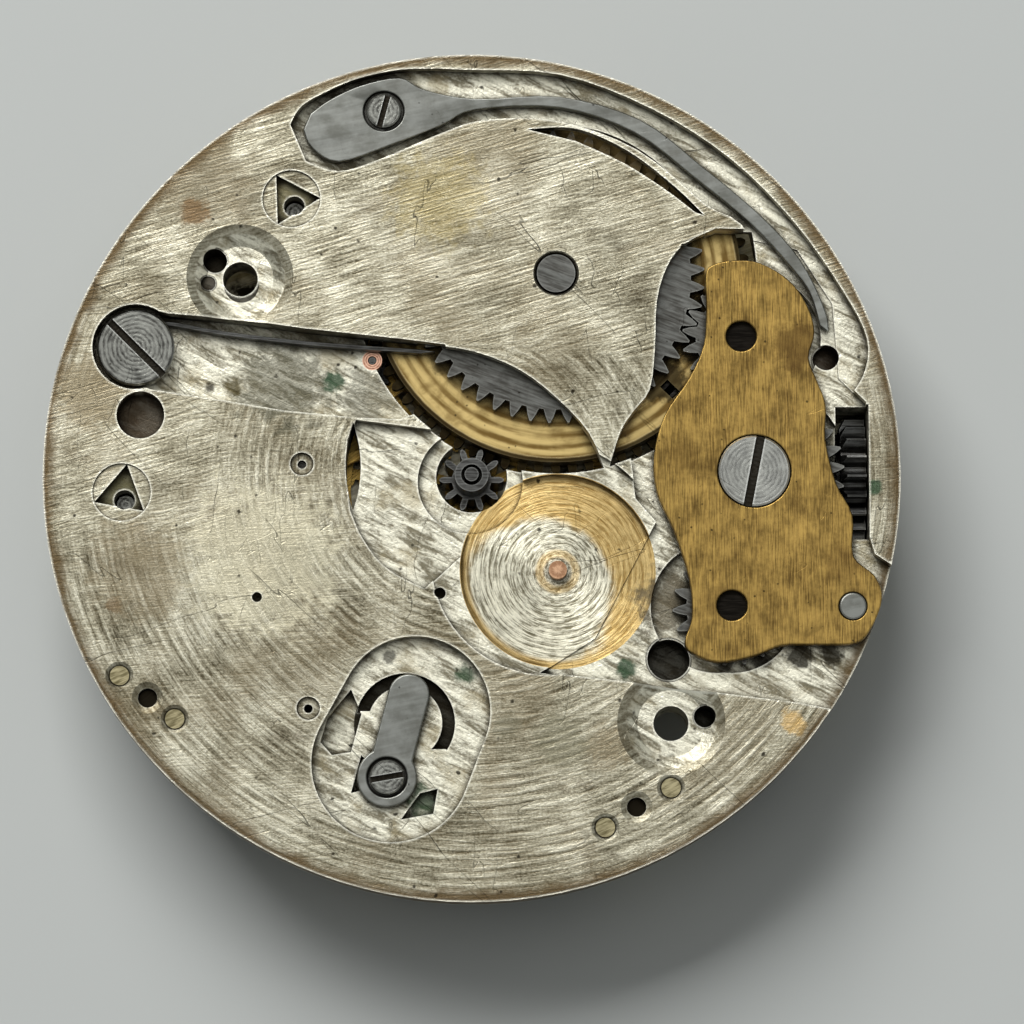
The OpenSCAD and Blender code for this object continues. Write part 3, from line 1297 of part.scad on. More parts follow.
main_plate();
minute_wheel_post();
plate_jewels();
lower_balance_jewel();
lower_end_stone();
end_piece();
end_piece_screw();
return_spring();
return_spring_screw();
rocking_bar();
rocking_bar_screw();
bar_pin();
wheel_studs();
ratchet_drive_wheel();
crown_wheel();
setting_wheel();
winding_pinion();
click_spring();
click_screw();
ratchet_wheel();
barrel_drum();
barrel_cover();
barrel_arbor();
mainspring();
centre_pinion();
centre_arbor();
centre_wheel();
third_pinion();
third_wheel();
fourth_pinion();
fourth_wheel();
escape_pinion();
escape_wheel();
pallet_fork();
pallet_stones();
pallet_arbor();
balance_wheel();
balance_screws();
balance_staff();
roller_table();
impulse_pin();
hairspring();
hairspring_collet();
hairspring_stud();
barrel_bridge();
train_bridge();
pallet_cock();
balance_cock();
bridge_screws();
cock_screws();
steady_pins();
bridge_jewels();
upper_balance_jewel();
upper_end_stone();
cock_cap();
cap_screws();
regulator();
curb_pins();
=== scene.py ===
import json
import math

import bmesh
import bpy
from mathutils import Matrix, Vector

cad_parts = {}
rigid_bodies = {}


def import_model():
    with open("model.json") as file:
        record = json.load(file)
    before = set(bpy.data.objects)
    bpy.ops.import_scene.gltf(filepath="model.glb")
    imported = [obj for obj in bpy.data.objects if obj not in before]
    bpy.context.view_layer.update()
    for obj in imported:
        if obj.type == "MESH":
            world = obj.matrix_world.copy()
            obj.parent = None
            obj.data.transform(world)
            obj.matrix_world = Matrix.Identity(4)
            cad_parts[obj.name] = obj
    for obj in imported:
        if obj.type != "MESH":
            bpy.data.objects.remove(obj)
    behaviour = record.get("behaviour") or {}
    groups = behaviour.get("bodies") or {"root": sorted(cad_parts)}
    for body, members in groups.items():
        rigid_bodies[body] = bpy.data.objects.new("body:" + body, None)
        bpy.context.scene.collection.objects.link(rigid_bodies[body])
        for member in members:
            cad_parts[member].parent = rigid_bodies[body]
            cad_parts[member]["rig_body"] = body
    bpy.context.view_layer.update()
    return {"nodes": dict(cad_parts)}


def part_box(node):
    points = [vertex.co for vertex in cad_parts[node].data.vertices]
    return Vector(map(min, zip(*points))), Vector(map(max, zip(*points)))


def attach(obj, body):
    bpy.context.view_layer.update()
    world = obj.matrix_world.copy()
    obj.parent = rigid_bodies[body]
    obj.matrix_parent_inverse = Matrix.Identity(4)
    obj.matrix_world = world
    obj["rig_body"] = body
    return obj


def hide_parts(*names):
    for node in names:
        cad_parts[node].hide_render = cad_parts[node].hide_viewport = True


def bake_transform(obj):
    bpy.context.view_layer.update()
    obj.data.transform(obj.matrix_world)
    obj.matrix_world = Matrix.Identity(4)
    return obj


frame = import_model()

MM = 0.001
FULL_TURN = 2 * math.pi
nodes = frame["nodes"]


def box_of(name):
    """Lowest and highest corner of a node's box, in millimetres."""
    return [[side / MM for side in corner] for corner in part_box(name)]


def middle(name):
    """Middle of a node's box, in millimetres."""
    low, high = box_of(name)
    return [(low[i] + high[i]) / 2 for i in range(3)]


def top_of(name):
    return box_of(name)[1][2]


def body_of(name):
    return nodes[name]["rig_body"]


# Places and sizes of the movement, in millimetres
DIAL_FACE = top_of("main_plate")
PLATE_RADIUS = box_of("main_plate")[1][1]
BARREL = middle("barrel_drum")
BARREL_COVER_RADIUS = box_of("barrel_cover")[1][0] - BARREL[0]
BALANCE = middle("roller_table")
THIRD_BUSH = (-3.42, 4.12)
THIRD_BUSH_REACH = 1.0
POST = middle("minute_wheel_post")
POST_SHOULDER = 0.62
POST_DISC = 1.95
POST_RECESS = 3.33
POST_GILT = (2.95, 3.2)


# Wiring of node trees
COLOUR_SOCKETS = (6, 7)  # A and B of a Mix node when it mixes colours
NUMBER_SOCKETS = (2, 3)  # A and B of a Mix node when it mixes numbers
RAYS_PER_POINT = 5


class Wiring:
    """Adds nodes to one tree. An input is a number, a colour or another node's output."""

    def __init__(self, tree):
        self.tree = tree

    def add(self, kind, inputs=None, **settings):
        node = self.tree.nodes.new(kind)
        for name, value in settings.items():
            setattr(node, name, value)
        for key, value in (inputs or {}).items():
            self.feed(node.inputs[key], value)
        return node

    def feed(self, socket, value):
        if isinstance(value, bpy.types.NodeSocket):
            self.tree.links.new(value, socket)
        else:
            socket.default_value = value

    def math(self, operation, *values):
        """One operation over two or more values, from left to right."""
        result = values[0]
        for value in values[1:] or (0.0,):
            result = self.add("ShaderNodeMath", {0: result, 1: value}, operation=operation).outputs[0]
        return result

    def plus(self, *values):
        return self.math("ADD", *values)

    def minus(self, a, b):
        return self.math("SUBTRACT", a, b)

    def times(self, *values):
        return self.math("MULTIPLY", *values)

    def over(self, a, b):
        return self.math("DIVIDE", a, b)

    def most(self, *values):
        return self.math("MAXIMUM", *values)

    def below(self, a, b):
        return self.math("LESS_THAN", a, b)

    def above(self, a, b):
        return self.math("GREATER_THAN", a, b)

    def off(self, value, middle_value):
        """How far a value is from a middle one, either way."""
        return self.math("ABSOLUTE", self.minus(value, middle_value))

    def about_zero(self, noise, amount):
        """A noise from 0 to 1 brought about zero and taken times an amount."""
        return self.times(self.minus(noise, 0.5), amount)

    def vector(self, operation, a, b=(0, 0, 0)):
        return self.add("ShaderNodeVectorMath", {0: a, 1: b}, operation=operation).outputs[0]

    def length(self, a):
        return self.add("ShaderNodeVectorMath", {0: a}, operation="LENGTH").outputs["Value"]

    def flat(self, place):
        """The place without its height."""
        return self.vector("MULTIPLY", place, (1, 1, 0))

    def span(self, value, low, high, to_low=0.0, to_high=1.0):
        """The value brought from low..high to to_low..to_high, smoothly and held at both ends."""
        inputs = {"Value": value, "From Min": low, "From Max": high, "To Min": to_low,
                  "To Max": to_high}
        return self.add("ShaderNodeMapRange", inputs, interpolation_type="SMOOTHSTEP").outputs[0]

    def mix(self, share, a, b, mode="MIX"):
        first, second = COLOUR_SOCKETS
        inputs = {0: share, first: a, second: b}
        return self.add("ShaderNodeMix", inputs, data_type="RGBA", blend_type=mode).outputs[2]

    def blend(self, share, a, b):
        first, second = NUMBER_SOCKETS
        return self.add("ShaderNodeMix", {0: share, first: a, second: b}, data_type="FLOAT").outputs[0]

    def noise(self, place, scale, detail=3.0, roughness=0.5, distortion=0.0):
        inputs = {"Vector": place, "Scale": scale, "Detail": detail, "Roughness": roughness,
                  "Distortion": distortion}
        return self.add("ShaderNodeTexNoise", inputs).outputs[0]

    def split(self, source):
        return self.add("ShaderNodeSeparateXYZ", {0: source}).outputs

    def join(self, x=0.0, y=0.0, z=0.0):
        return self.add("ShaderNodeCombineXYZ", {0: x, 1: y, 2: z}).outputs[0]

    def place(self, shift=(0, 0, 0), turn=0.0, scale=(1, 1, 1), source=None):
        """Object coordinates in millimetres, moved, turned about Z (degrees) and then scaled."""
        if source is None:
            coordinates = self.add("ShaderNodeTexCoord").outputs["Object"]
            source = self.vector("MULTIPLY", coordinates, (1 / MM, 1 / MM, 1 / MM))
        moved = self.vector("SUBTRACT", source, shift)
        inputs = {"Vector": moved, "Angle": -math.radians(turn)}
        turned = self.add("ShaderNodeVectorRotate", inputs, rotation_type="Z_AXIS").outputs[0]
        return self.vector("MULTIPLY", turned, scale)

    def away(self, place, x, y):
        """Distance in the plane from a point."""
        return self.length(self.flat(self.vector("SUBTRACT", place, (x, y, 0))))

    def hollows(self, reach, deep=0.4, open_sky=0.8):
        """Mask of corners, slots and gaps between pieces, within a reach in millimetres."""
        inputs = {"Distance": reach * MM}
        node = self.add("ShaderNodeAmbientOcclusion", inputs, samples=RAYS_PER_POINT)
        return self.span(node.outputs["AO"], open_sky, deep)

    def edges(self, reach, sharp=0.5, flat=0.8):
        """Mask of a piece's own outer edges, within a reach in millimetres."""
        inputs = {"Distance": reach * MM}
        node = self.add("ShaderNodeAmbientOcclusion", inputs, samples=RAYS_PER_POINT, inside=True,
                        only_local=True)
        return self.span(node.outputs["AO"], flat, sharp)

    def group(self, tree, **inputs):
        """A shader group with its inputs given by name, an underscore for each space."""
        node = self.add("ShaderNodeGroup", node_tree=tree)
        for name, value in inputs.items():
            self.feed(node.inputs[name.replace("_", " ")], value)
        return node.outputs


# Effects of working and age, as shader groups with named sockets
def effect(name, inputs, outputs):
    """A shader group: returns its tree, its wiring, its inputs and the node that takes its outputs."""
    tree = bpy.data.node_groups.new(name, "ShaderNodeTree")
    for label, start in inputs.items():
        kind = "NodeSocketVector" if start is None else "NodeSocketFloat"
        socket = tree.interface.new_socket(name=label, in_out="INPUT", socket_type=kind)
        if start is not None:
            socket.default_value = start
    for label in outputs:
        tree.interface.new_socket(name=label, in_out="OUTPUT", socket_type="NodeSocketFloat")
    wiring = Wiring(tree)
    return tree, wiring, wiring.add("NodeGroupInput").outputs, wiring.add("NodeGroupOutput").inputs


def turned_rings():
    """Fine rings left by a lathe, about the origin of Place."""
    tree, w, given, result = effect(
        "turned rings", {"Place": None, "Pitch": 0.3, "Waver": 0.15}, ["Height"])
    around, across, wave_share = 1.3, 0.9, 0.16
    flat = w.flat(given["Place"])
    waver = w.times(w.noise(given["Place"], scale=0.6, detail=2.0), given["Waver"])
    count = w.over(w.plus(w.length(flat), waver), given["Pitch"])
    wave = w.math("SINE", w.times(count, FULL_TURN))
    direction = w.vector("MULTIPLY", w.vector("NORMALIZE", flat), (around, around, 0))
    x, y = w.split(direction)[:2]
    uneven = w.noise(w.join(w.times(count, across), x, y), scale=1.6, detail=3.0, roughness=0.65)
    w.feed(result["Height"], w.plus(w.times(wave, wave_share), uneven))
    return tree


def turned_strokes():
    """Short broken strokes along circles about the origin of Place, as a worn turned face has."""
    tree, w, given, result = effect(
        "turned strokes", {"Place": None, "Pitch": 0.3, "Length": 1.5}, ["Height", "Lines"])
    circle_for_length = 9.0
    flat = w.flat(given["Place"])
    around = w.over(circle_for_length, given["Length"])
    direction = w.vector("MULTIPLY", w.vector("NORMALIZE", flat), w.join(around, around))
    x, y = w.split(direction)[:2]
    count = w.over(w.length(flat), given["Pitch"])

    def along(across):
        return w.join(w.times(count, across), x, y)

    uneven = w.noise(along(2.6), scale=1.0, detail=4.0, roughness=0.68, distortion=0.05)
    w.feed(result["Height"], uneven)
    waver = w.times(w.noise(along(0.1), scale=0.3, detail=1.0), 1.6)
    wave = w.math("SINE", w.times(w.plus(count, waver), FULL_TURN))
    shown = w.span(w.noise(along(0.5), scale=0.8, detail=3.0, roughness=0.6), 0.4, 0.6, to_low=0.1)
    w.feed(result["Lines"], w.times(wave, shown))
    return tree


def file_grain():
    """Straight strokes of a file or stone, along X of Place."""
    tree, w, given, result = effect(
        "file grain", {"Place": None, "Width": 0.06, "Length": 2.0}, ["Height", "Coarse"])
    across = w.over(1.0, given["Width"])
    along = w.over(1.0, given["Length"])
    stretched = w.vector("MULTIPLY", given["Place"], w.join(along, across, along))
    w.feed(result["Height"], w.noise(stretched, scale=1.0, detail=4.0, roughness=0.6, distortion=0.15))
    w.feed(result["Coarse"], w.noise(stretched, scale=0.3, detail=2.0, roughness=0.5, distortion=0.3))
    return tree


def scratches():
    """Thin stray scratches in all directions; Amount is the share of them that shows."""
    tree, w, given, result = effect(
        "scratches", {"Place": None, "Size": 1.0, "Amount": 0.5}, ["Mask"])
    thickness = 0.006
    hidden = w.minus(0.9, w.times(given["Amount"], 0.6))
    lines = 0.0
    for turn, seed, stretch in ((17, 0.0, 0.16), (86, 7.3, 0.3), (137, 13.9, 0.12)):
        place = w.place((seed, -seed, 0.0), turn, (stretch, 1.0, 0.3), source=given["Place"])
        noise = w.noise(place, scale=given["Size"], detail=2.0, roughness=0.45)
        line = w.span(w.off(noise, 0.5), thickness, 0.0)
        shown = w.span(w.noise(place, scale=0.9, detail=1.0), hidden, 0.8)
        lines = w.most(lines, w.times(line, shown))
    w.feed(result["Mask"], lines)
    return tree


def stains():
    """Soft patches of tarnish and the small dark specks of corrosion."""
    tree, w, given, result = effect(
        "stains", {"Place": None, "Size": 1.0, "Amount": 0.5}, ["Patches", "Specks"])
    soft_edge, speck_edge = 0.16, (0.28, 0.18)
    patches = w.noise(given["Place"], scale=w.over(0.5, given["Size"]), detail=5.0, roughness=0.62,
                      distortion=0.4)
    edge = w.minus(0.74, w.times(given["Amount"], 0.36))
    w.feed(result["Patches"], w.span(patches, edge, w.plus(edge, soft_edge)))
    inputs = {"Vector": given["Place"], "Scale": w.over(1.9, given["Size"])}
    cells = w.add("ShaderNodeTexVoronoi", inputs).outputs
    picked = w.add("ShaderNodeSeparateColor", {0: cells["Color"]}).outputs[0]
    chosen = w.below(picked, given["Amount"])
    ragged = w.plus(cells["Distance"], w.times(w.noise(given["Place"], scale=7.0, detail=3.0), 0.3))
    w.feed(result["Specks"], w.times(chosen, w.span(ragged, *speck_edge)))
    return tree


RINGS = turned_rings()
STROKES = turned_strokes()
GRAIN = file_grain()
SCRATCHES = scratches()
STAINS = stains()


# Colours
def colour(red, green, blue):
    """A colour named by its screen values from 0 to 255."""
    def linear(value):
        value = value / 255
        return value / 12.92 if value <= 0.04045 else ((value + 0.055) / 1.055) ** 2.4
    return (linear(red), linear(green), linear(blue), 1.0)


# Colour of grime, also used for painted shade in hollows, holes, slots and gaps, and for painted
# shadow under the bar
GRIME_AND_SHADE = colour(30, 26, 19)
OLIVE = colour(74, 66, 40)
VERDIGRIS = colour(52, 74, 54)
RUST = colour(104, 82, 56)
TARNISH = colour(128, 116, 92)
NICKEL = colour(146, 140, 120)
NICKEL_DARK = colour(78, 71, 54)
NICKEL_WORN = colour(205, 200, 180)
NICKEL_BLOTCH = colour(118, 106, 82)
FLOOR_DARK = colour(116, 110, 92)
FLOOR_BRIGHT = colour(228, 224, 205)
FLOOR_YELLOW = colour(150, 138, 108)
DISC_DARK = colour(112, 106, 86)
DISC_BRIGHT = colour(226, 221, 200)
GILT_DARK = colour(150, 120, 66)
GILT_BRIGHT = colour(212, 182, 118)
RIM_BROWN = colour(84, 68, 44)
SILVER = colour(232, 229, 214)
HOLE_SHADE = colour(22, 20, 18)
TRAIN_BRASS = colour(206, 174, 98)
SCREW_GREY = colour(150, 150, 143)
STEEL = colour(134, 135, 130)
STEEL_WORN = colour(150, 150, 146)

# Marks of age on the plate, and painted shadow under the bar's lower edge: middle in millimetres,
# radius, colour and strength
MARKS = [
    (-1.1, 9.6, 1.8, colour(146, 132, 88), 0.5),
    (-9.2, 10.1, 1.8, colour(112, 102, 82), 0.45),
    (-7.2, -2.9, 2.9, colour(214, 207, 180), 0.5),
    (-6.4, 3.3, 1.8, colour(84, 82, 68), 0.7),
    (-3.6, 2.9, 1.1, colour(88, 86, 74), 0.6),
    (9.6, -8.2, 1.5, colour(118, 108, 86), 0.4),
    (-9.5, 9.1, 0.55, RUST, 0.8),
    (-12.2, -4.5, 0.35, RUST, 0.7),
    (-12.9, 2.9, 1.6, TARNISH, 0.7),
    (-11.4, -3.3, 1.9, TARNISH, 0.5),
    (-4.7, 3.35, 0.4, VERDIGRIS, 0.9),
    (-8.2, 3.2, 0.3, OLIVE, 0.8),
    (-9.0, 3.15, 0.22, GRIME_AND_SHADE, 0.8),
    (7.8, 13.2, 0.35, VERDIGRIS, 0.9),
    (-1.04, -4.0, 0.24, OLIVE, 0.95),
    (-0.2, -6.8, 0.4, VERDIGRIS, 0.85),
    (-2.8, -6.25, 0.26, GRIME_AND_SHADE, 0.75),
    (-1.7, -11.1, 0.6, VERDIGRIS, 0.85),
    (5.3, -6.65, 0.42, VERDIGRIS, 0.9),
    (13.7, -0.45, 0.32, VERDIGRIS, 0.9),
    (6.8, -4.3, 1.3, colour(92, 84, 68), 0.85),
    (4.6, -9.4, 0.9, TARNISH, 0.6),
    (10.9, -8.55, 0.5, colour(196, 160, 96), 0.6),
    # Painted shadow under the lower edge of the rocking bar
    (8.6, -6.4, 0.4, GRIME_AND_SHADE, 0.8),
    (9.9, -6.3, 0.45, GRIME_AND_SHADE, 0.85),
    (11.2, -6.15, 0.5, GRIME_AND_SHADE, 0.9),
    (12.3, -6.05, 0.5, GRIME_AND_SHADE, 0.9),
    (3.0, -9.2, 1.1, colour(120, 116, 96), 0.6),
    (1.2, -8.6, 0.5, colour(104, 100, 82), 0.6),
]

# A darker patch on the barrel and ratchet under the curved slot of the plate, as one more mark
SLOT_DARKENING = (5.3, 10.5, 2.7, colour(84, 70, 42), 0.85)

# Holes painted dark as shade: middle and radius in millimetres, depth under the dial face and colour
SHADED_HOLES = [
    (-11.03, -7.65, 0.34, 0.25, HOLE_SHADE),
    (5.66, -11.31, 0.34, 0.25, HOLE_SHADE),
    (-11.33, 2.05, 0.9, 0.3, colour(58, 48, 38)),
    (6.72, -6.29, 0.8, 0.3, colour(20, 18, 16)),
    (12.17, 4.14, 0.5, 0.6, colour(50, 40, 32)),
    (-8.82, 7.48, 0.46, 0.3, colour(34, 28, 22)),
    (-7.91, 6.63, 0.6, 0.3, colour(30, 26, 22)),
    (7.93, -8.29, 0.42, 0.3, HOLE_SHADE),
    (-9.05, 6.71, 0.3, 0.3, colour(40, 34, 28)),
    (-6.2, 9.59, 1.05, 0.25, colour(96, 90, 64)),
    (-11.95, -0.62, 1.05, 0.25, colour(86, 82, 58)),
]

# The groove round the balance pivot, painted dark as shade: inner and outer radius and depth, in
# millimetres
BALANCE_GROOVE = (1.2, 1.75, 0.55)


# Materials
DIRT_ROUGHENS = 0.3


def new_material(name):
    material = bpy.data.materials.new(name)
    material.use_nodes = True
    material.node_tree.nodes.clear()
    return material, Wiring(material.node_tree)


def finish_metal(w, base, roughness, height, depth=0.004, metallic=1.0, settings=None):
    """Joins the colour, roughness and relief of a metal to its shader. Depth is in millimetres."""
    inputs = {"Height": height, "Distance": depth * MM, "Strength": 1.0}
    bump = w.add("ShaderNodeBump", inputs).outputs[0]
    inputs = {"Base Color": base, "Roughness": roughness, "Metallic": metallic, "Normal": bump}
    shader = w.add("ShaderNodeBsdfPrincipled", inputs)
    for name, value in (settings or {}).items():
        shader.inputs[name].default_value = value
    w.add("ShaderNodeOutputMaterial", {"Surface": shader.outputs[0]})


def with_marks(w, place, base, marks):
    """Lays ragged spots of colour over the base."""
    raggedness, fade = 1.9, (1.15, 0.55)
    ragged = w.minus(w.noise(place, scale=2.2, detail=4.0, roughness=0.65), 0.5)
    for x, y, radius, tint, strength in marks:
        reach = w.plus(w.away(place, x, y), w.times(ragged, radius * raggedness))
        share = w.span(reach, radius * fade[0], radius * fade[1], to_high=strength)
        base = w.mix(share, base, tint)
    return base


def with_painted_hole_shade(w, place, height, base):
    """Paints shade on the walls of holes and in the groove round the balance pivot, from their depth
    down.
    """
    for x, y, radius, depth, tint in SHADED_HOLES:
        inside = w.below(w.away(place, x, y), radius)
        base = w.mix(w.times(inside, w.below(height, DIAL_FACE - depth), 0.92), base, tint)
    inner, outer, depth = BALANCE_GROOVE
    from_pivot = w.away(place, *BALANCE[:2])
    groove = w.times(w.above(from_pivot, inner), w.below(from_pivot, outer))
    return w.mix(w.times(groove, w.below(height, DIAL_FACE - depth), 0.95), base, GRIME_AND_SHADE)


def worked_face(w, place, cloud, fine):
    """Height of the worn dial face: turned strokes, but straight grain on the web and at the left."""
    web_slope, web_edge = 0.1, (4.2, 5.0)
    left_edge, left_middle, left_height, left_share = (-7.4, -9.6), 0.6, (3.6, 2.0), 0.85
    line_share, fine_share = 0.09, 0.5
    x, y = w.split(place)[:2]
    web = w.span(w.plus(y, w.times(x, web_slope)), *web_edge)
    left = w.times(w.span(x, *left_edge), w.span(w.off(y, left_middle), *left_height))
    strokes = w.group(STROKES, Place=place, Pitch=0.31, Length=1.5)
    grain = w.group(GRAIN, Place=w.place(turn=17, source=place), Width=0.075, Length=1.3)
    cross = w.group(GRAIN, Place=w.place(turn=4, source=place), Width=0.06, Length=0.9)
    worked = w.plus(strokes["Height"], w.times(strokes["Lines"], line_share))
    worked = w.blend(w.most(web, w.times(left, left_share)), worked, grain["Height"])
    worked = w.blend(w.span(cloud, 0.35, 0.65, to_low=0.1, to_high=0.5), worked, cross["Height"])
    return w.plus(worked, w.about_zero(fine, fine_share))


def face_colour(w, place, worked, cloud, stain):
    """Nickel worn bright on the strokes, with tarnish in patches and broad blotches."""
    patch_share, blotch_share = 0.5, 0.4
    rub = w.plus(worked, w.about_zero(w.noise(place, scale=0.45, detail=3.0, roughness=0.6), 0.5))
    ramp = w.add("ShaderNodeValToRGB", {0: rub})
    stops = ramp.color_ramp.elements
    stops[0].position, stops[0].color = 0.3, NICKEL_DARK
    stops[1].position, stops[1].color = 0.68, NICKEL_WORN
    stops.new(0.48).color = NICKEL
    tarnish = w.mix(w.span(cloud, 0.4, 0.6), RUST, OLIVE)
    base = w.mix(w.times(stain["Patches"], patch_share), ramp.outputs[0], tarnish, "MULTIPLY")
    blotch = w.span(w.noise(place, scale=0.28, detail=4.0, roughness=0.6, distortion=0.5), 0.42, 0.66)
    return w.mix(w.times(blotch, blotch_share), base, NICKEL_BLOTCH)


def recess_floor(w, place, fine):
    """Colour and height of the bright, smeared floors of the recesses."""
    smeared = w.place(turn=-28, scale=(0.5, 2.4, 1.0), source=place)
    smear = w.noise(smeared, scale=1.5, detail=4.0, roughness=0.6, distortion=0.6)
    light = w.plus(w.times(fine, 0.25), w.times(smear, 0.75))
    tone = w.mix(w.span(light, 0.38, 0.6), FLOOR_DARK, FLOOR_BRIGHT)
    yellow = w.span(w.noise(place, scale=0.7, detail=4.0, roughness=0.6), 0.5, 0.68, to_high=0.55)
    height = w.plus(w.times(fine, 0.6), w.times(smear, 0.8))
    return w.mix(yellow, tone, FLOOR_YELLOW), height


def minute_recess(w, place, cloud):
    """Colour and height of the floor round the minute-wheel post: a bright disc in a gilt ring."""
    ring_share, arc_share, rough_share = 0.24, 0.85, 0.35
    disc_lean, disc_fade, raggedness = (0.3, 0.34), (0.75, 1.35), 1.3
    own = w.place(shift=(*POST[:2], 0), source=place)
    own_x, own_y = w.split(own)[:2]
    from_post = w.away(place, *POST[:2])
    rings = w.group(RINGS, Place=own, Pitch=0.19, Waver=0.22)["Height"]
    arcs = w.group(STROKES, Place=own, Pitch=0.12, Length=2.6)["Height"]
    rough = w.about_zero(w.noise(place, scale=2.6, detail=4.0, roughness=0.7), rough_share)
    turned = w.plus(w.times(rings, ring_share), w.times(arcs, arc_share), rough)
    disc = w.mix(w.span(turned, 0.4, 0.66), DISC_DARK, DISC_BRIGHT)
    lean = w.plus(w.times(own_x, disc_lean[0]), w.times(own_y, disc_lean[1]))
    disc_edge = w.plus(from_post, lean, w.times(cloud, raggedness))
    beyond = w.span(disc_edge, POST_DISC + disc_fade[0], POST_DISC + disc_fade[1])
    gilt = w.times(w.most(beyond, w.span(from_post, *POST_GILT)), 0.92)
    gilt = w.most(gilt, w.span(w.off(from_post, POST_SHOULDER), 0.2, 0.08, to_high=0.6))
    return w.mix(gilt, disc, w.mix(w.span(turned, 0.35, 0.72), GILT_DARK, GILT_BRIGHT)), turned


def plate_metal():
    """Worn nickel over brass, with bright floors, a gilt recess, stains, worn edges, grime with
    painted shade in hollows, painted shade down holes and painted shadow under the bar.
    """
    face_step, rim_band = (-0.22, -0.16), (-0.55, -0.06)
    specks_show, scratches_show, wear_shows, grime_and_shade_shows, scratch_depth = 0.9, 0.6, 0.9, 0.95, 0.8
    material, w = new_material("worn nickel plate")
    place = w.place()
    height = w.split(place)[2]
    face = w.span(height, DIAL_FACE + face_step[0], DIAL_FACE + face_step[1])
    cloud = w.noise(place, scale=0.8, detail=4.0, roughness=0.6)
    fine = w.noise(place, scale=11.0, detail=4.0, roughness=0.65)
    stain = w.group(STAINS, Place=place, Size=1.3, Amount=0.5)
    marks = w.group(SCRATCHES, Place=place, Size=1.2, Amount=0.6)["Mask"]
    worked = worked_face(w, place, cloud, fine)
    floor_tone, milled = recess_floor(w, place, fine)
    disc, turned = minute_recess(w, place, cloud)
    round_post = w.below(w.away(place, *POST[:2]), POST_RECESS + 0.02)
    in_recess = w.times(round_post, w.minus(1.0, face))

    base = w.mix(face, floor_tone, face_colour(w, place, worked, cloud, stain))
    base = w.mix(in_recess, base, disc)
    base = with_marks(w, place, base, MARKS)
    base = with_painted_hole_shade(w, place, height, base)
    # A darker brown band along the plate's outer rim
    rim = w.plus(w.away(place, 0, 0), w.about_zero(cloud, 0.7))
    rim = w.span(rim, PLATE_RADIUS + rim_band[0], PLATE_RADIUS + rim_band[1], to_high=0.9)
    base = w.mix(rim, base, RIM_BROWN)
    base = w.mix(w.times(stain["Specks"], specks_show), base, GRIME_AND_SHADE)
    base = w.mix(w.times(marks, scratches_show), base, GRIME_AND_SHADE)
    worn = w.times(w.edges(0.12), w.span(cloud, 0.3, 0.5, to_low=0.4), w.minus(1.0, in_recess))
    base = w.mix(w.times(worn, wear_shows), base, SILVER)
    # Grime and painted shade: darker in corners, slots and gaps between pieces, found by occlusion
    grime_and_shade = w.hollows(0.36, deep=0.45, open_sky=0.86)
    base = w.mix(w.times(grime_and_shade, grime_and_shade_shows), base, GRIME_AND_SHADE)

    roughness = w.span(cloud, 0.3, 0.7, to_low=0.34, to_high=0.5)
    roughness = w.plus(roughness, w.times(grime_and_shade, DIRT_ROUGHENS))
    relief = w.blend(in_recess, w.blend(face, milled, worked), turned)
    relief = w.minus(relief, w.times(marks, scratch_depth))
    finish_metal(w, base, roughness, relief, depth=0.03)
    return material


def aged(w, place, shade, dark, amount, bright=None, wear=0.5, reach=0.25):
    """Tarnish, specks, scratches, worn edges, and grime with painted shade in hollows, over a metal's
    colour.
    """
    patches_show, specks_show, scratches_show, grime_and_shade_shows = 0.6, 0.8, 0.4, 0.93
    stain = w.group(STAINS, Place=place, Size=0.7, Amount=amount)
    marks = w.group(SCRATCHES, Place=place, Size=1.5, Amount=0.5)["Mask"]
    shade = w.mix(w.times(stain["Patches"], patches_show), shade, dark)
    shade = w.mix(w.times(stain["Specks"], specks_show), shade, GRIME_AND_SHADE)
    shade = w.mix(w.times(marks, scratches_show), shade, GRIME_AND_SHADE)
    if bright is not None:
        shade = w.mix(w.times(w.edges(0.07), wear), shade, bright)
    # Grime and painted shade: darker in corners, slots and gaps between pieces
    grime_and_shade = w.hollows(reach)
    return w.mix(w.times(grime_and_shade, grime_and_shade_shows), shade, GRIME_AND_SHADE), marks, grime_and_shade


def plain_metal(name, base, dark, width=0.05, length=1.5, turn=0.0, rough=0.35, depth=0.006,
                amount=0.4, bright=None, reach=0.25, marked=(), wear=0.5, mottle=0.3,
                marks_above=None):
    """A metal with a straight grain, scratches, tarnish and ragged marks. Mottle is the share of
    soft patches. The marks show only higher than marks_above, in millimetres, where it is given."""
    material, w = new_material(name)
    place = w.place()
    own = w.place(turn=turn, source=place)
    grain = w.group(GRAIN, Place=own, Width=width, Length=length)
    patches = w.times(w.noise(place, scale=1.3, detail=4.0, roughness=0.65), mottle)
    tone = w.plus(w.times(grain["Height"], 1.0 - mottle), patches)
    shade = w.mix(w.span(tone, 0.34, 0.66), dark, base)
    shade, marks, grime_and_shade = aged(w, place, shade, dark, amount, bright=bright, reach=reach, wear=wear)
    unmarked, shade = shade, with_marks(w, place, shade, marked)
    if marks_above is not None:
        shade = w.mix(w.above(w.split(place)[2], marks_above), unmarked, shade)
    coarse = w.span(grain["Coarse"], 0.3, 0.7, rough - 0.06, rough + 0.12)
    roughness = w.plus(coarse, w.times(grime_and_shade, DIRT_ROUGHENS))
    finish_metal(w, shade, roughness, w.minus(grain["Height"], marks), depth)
    return material


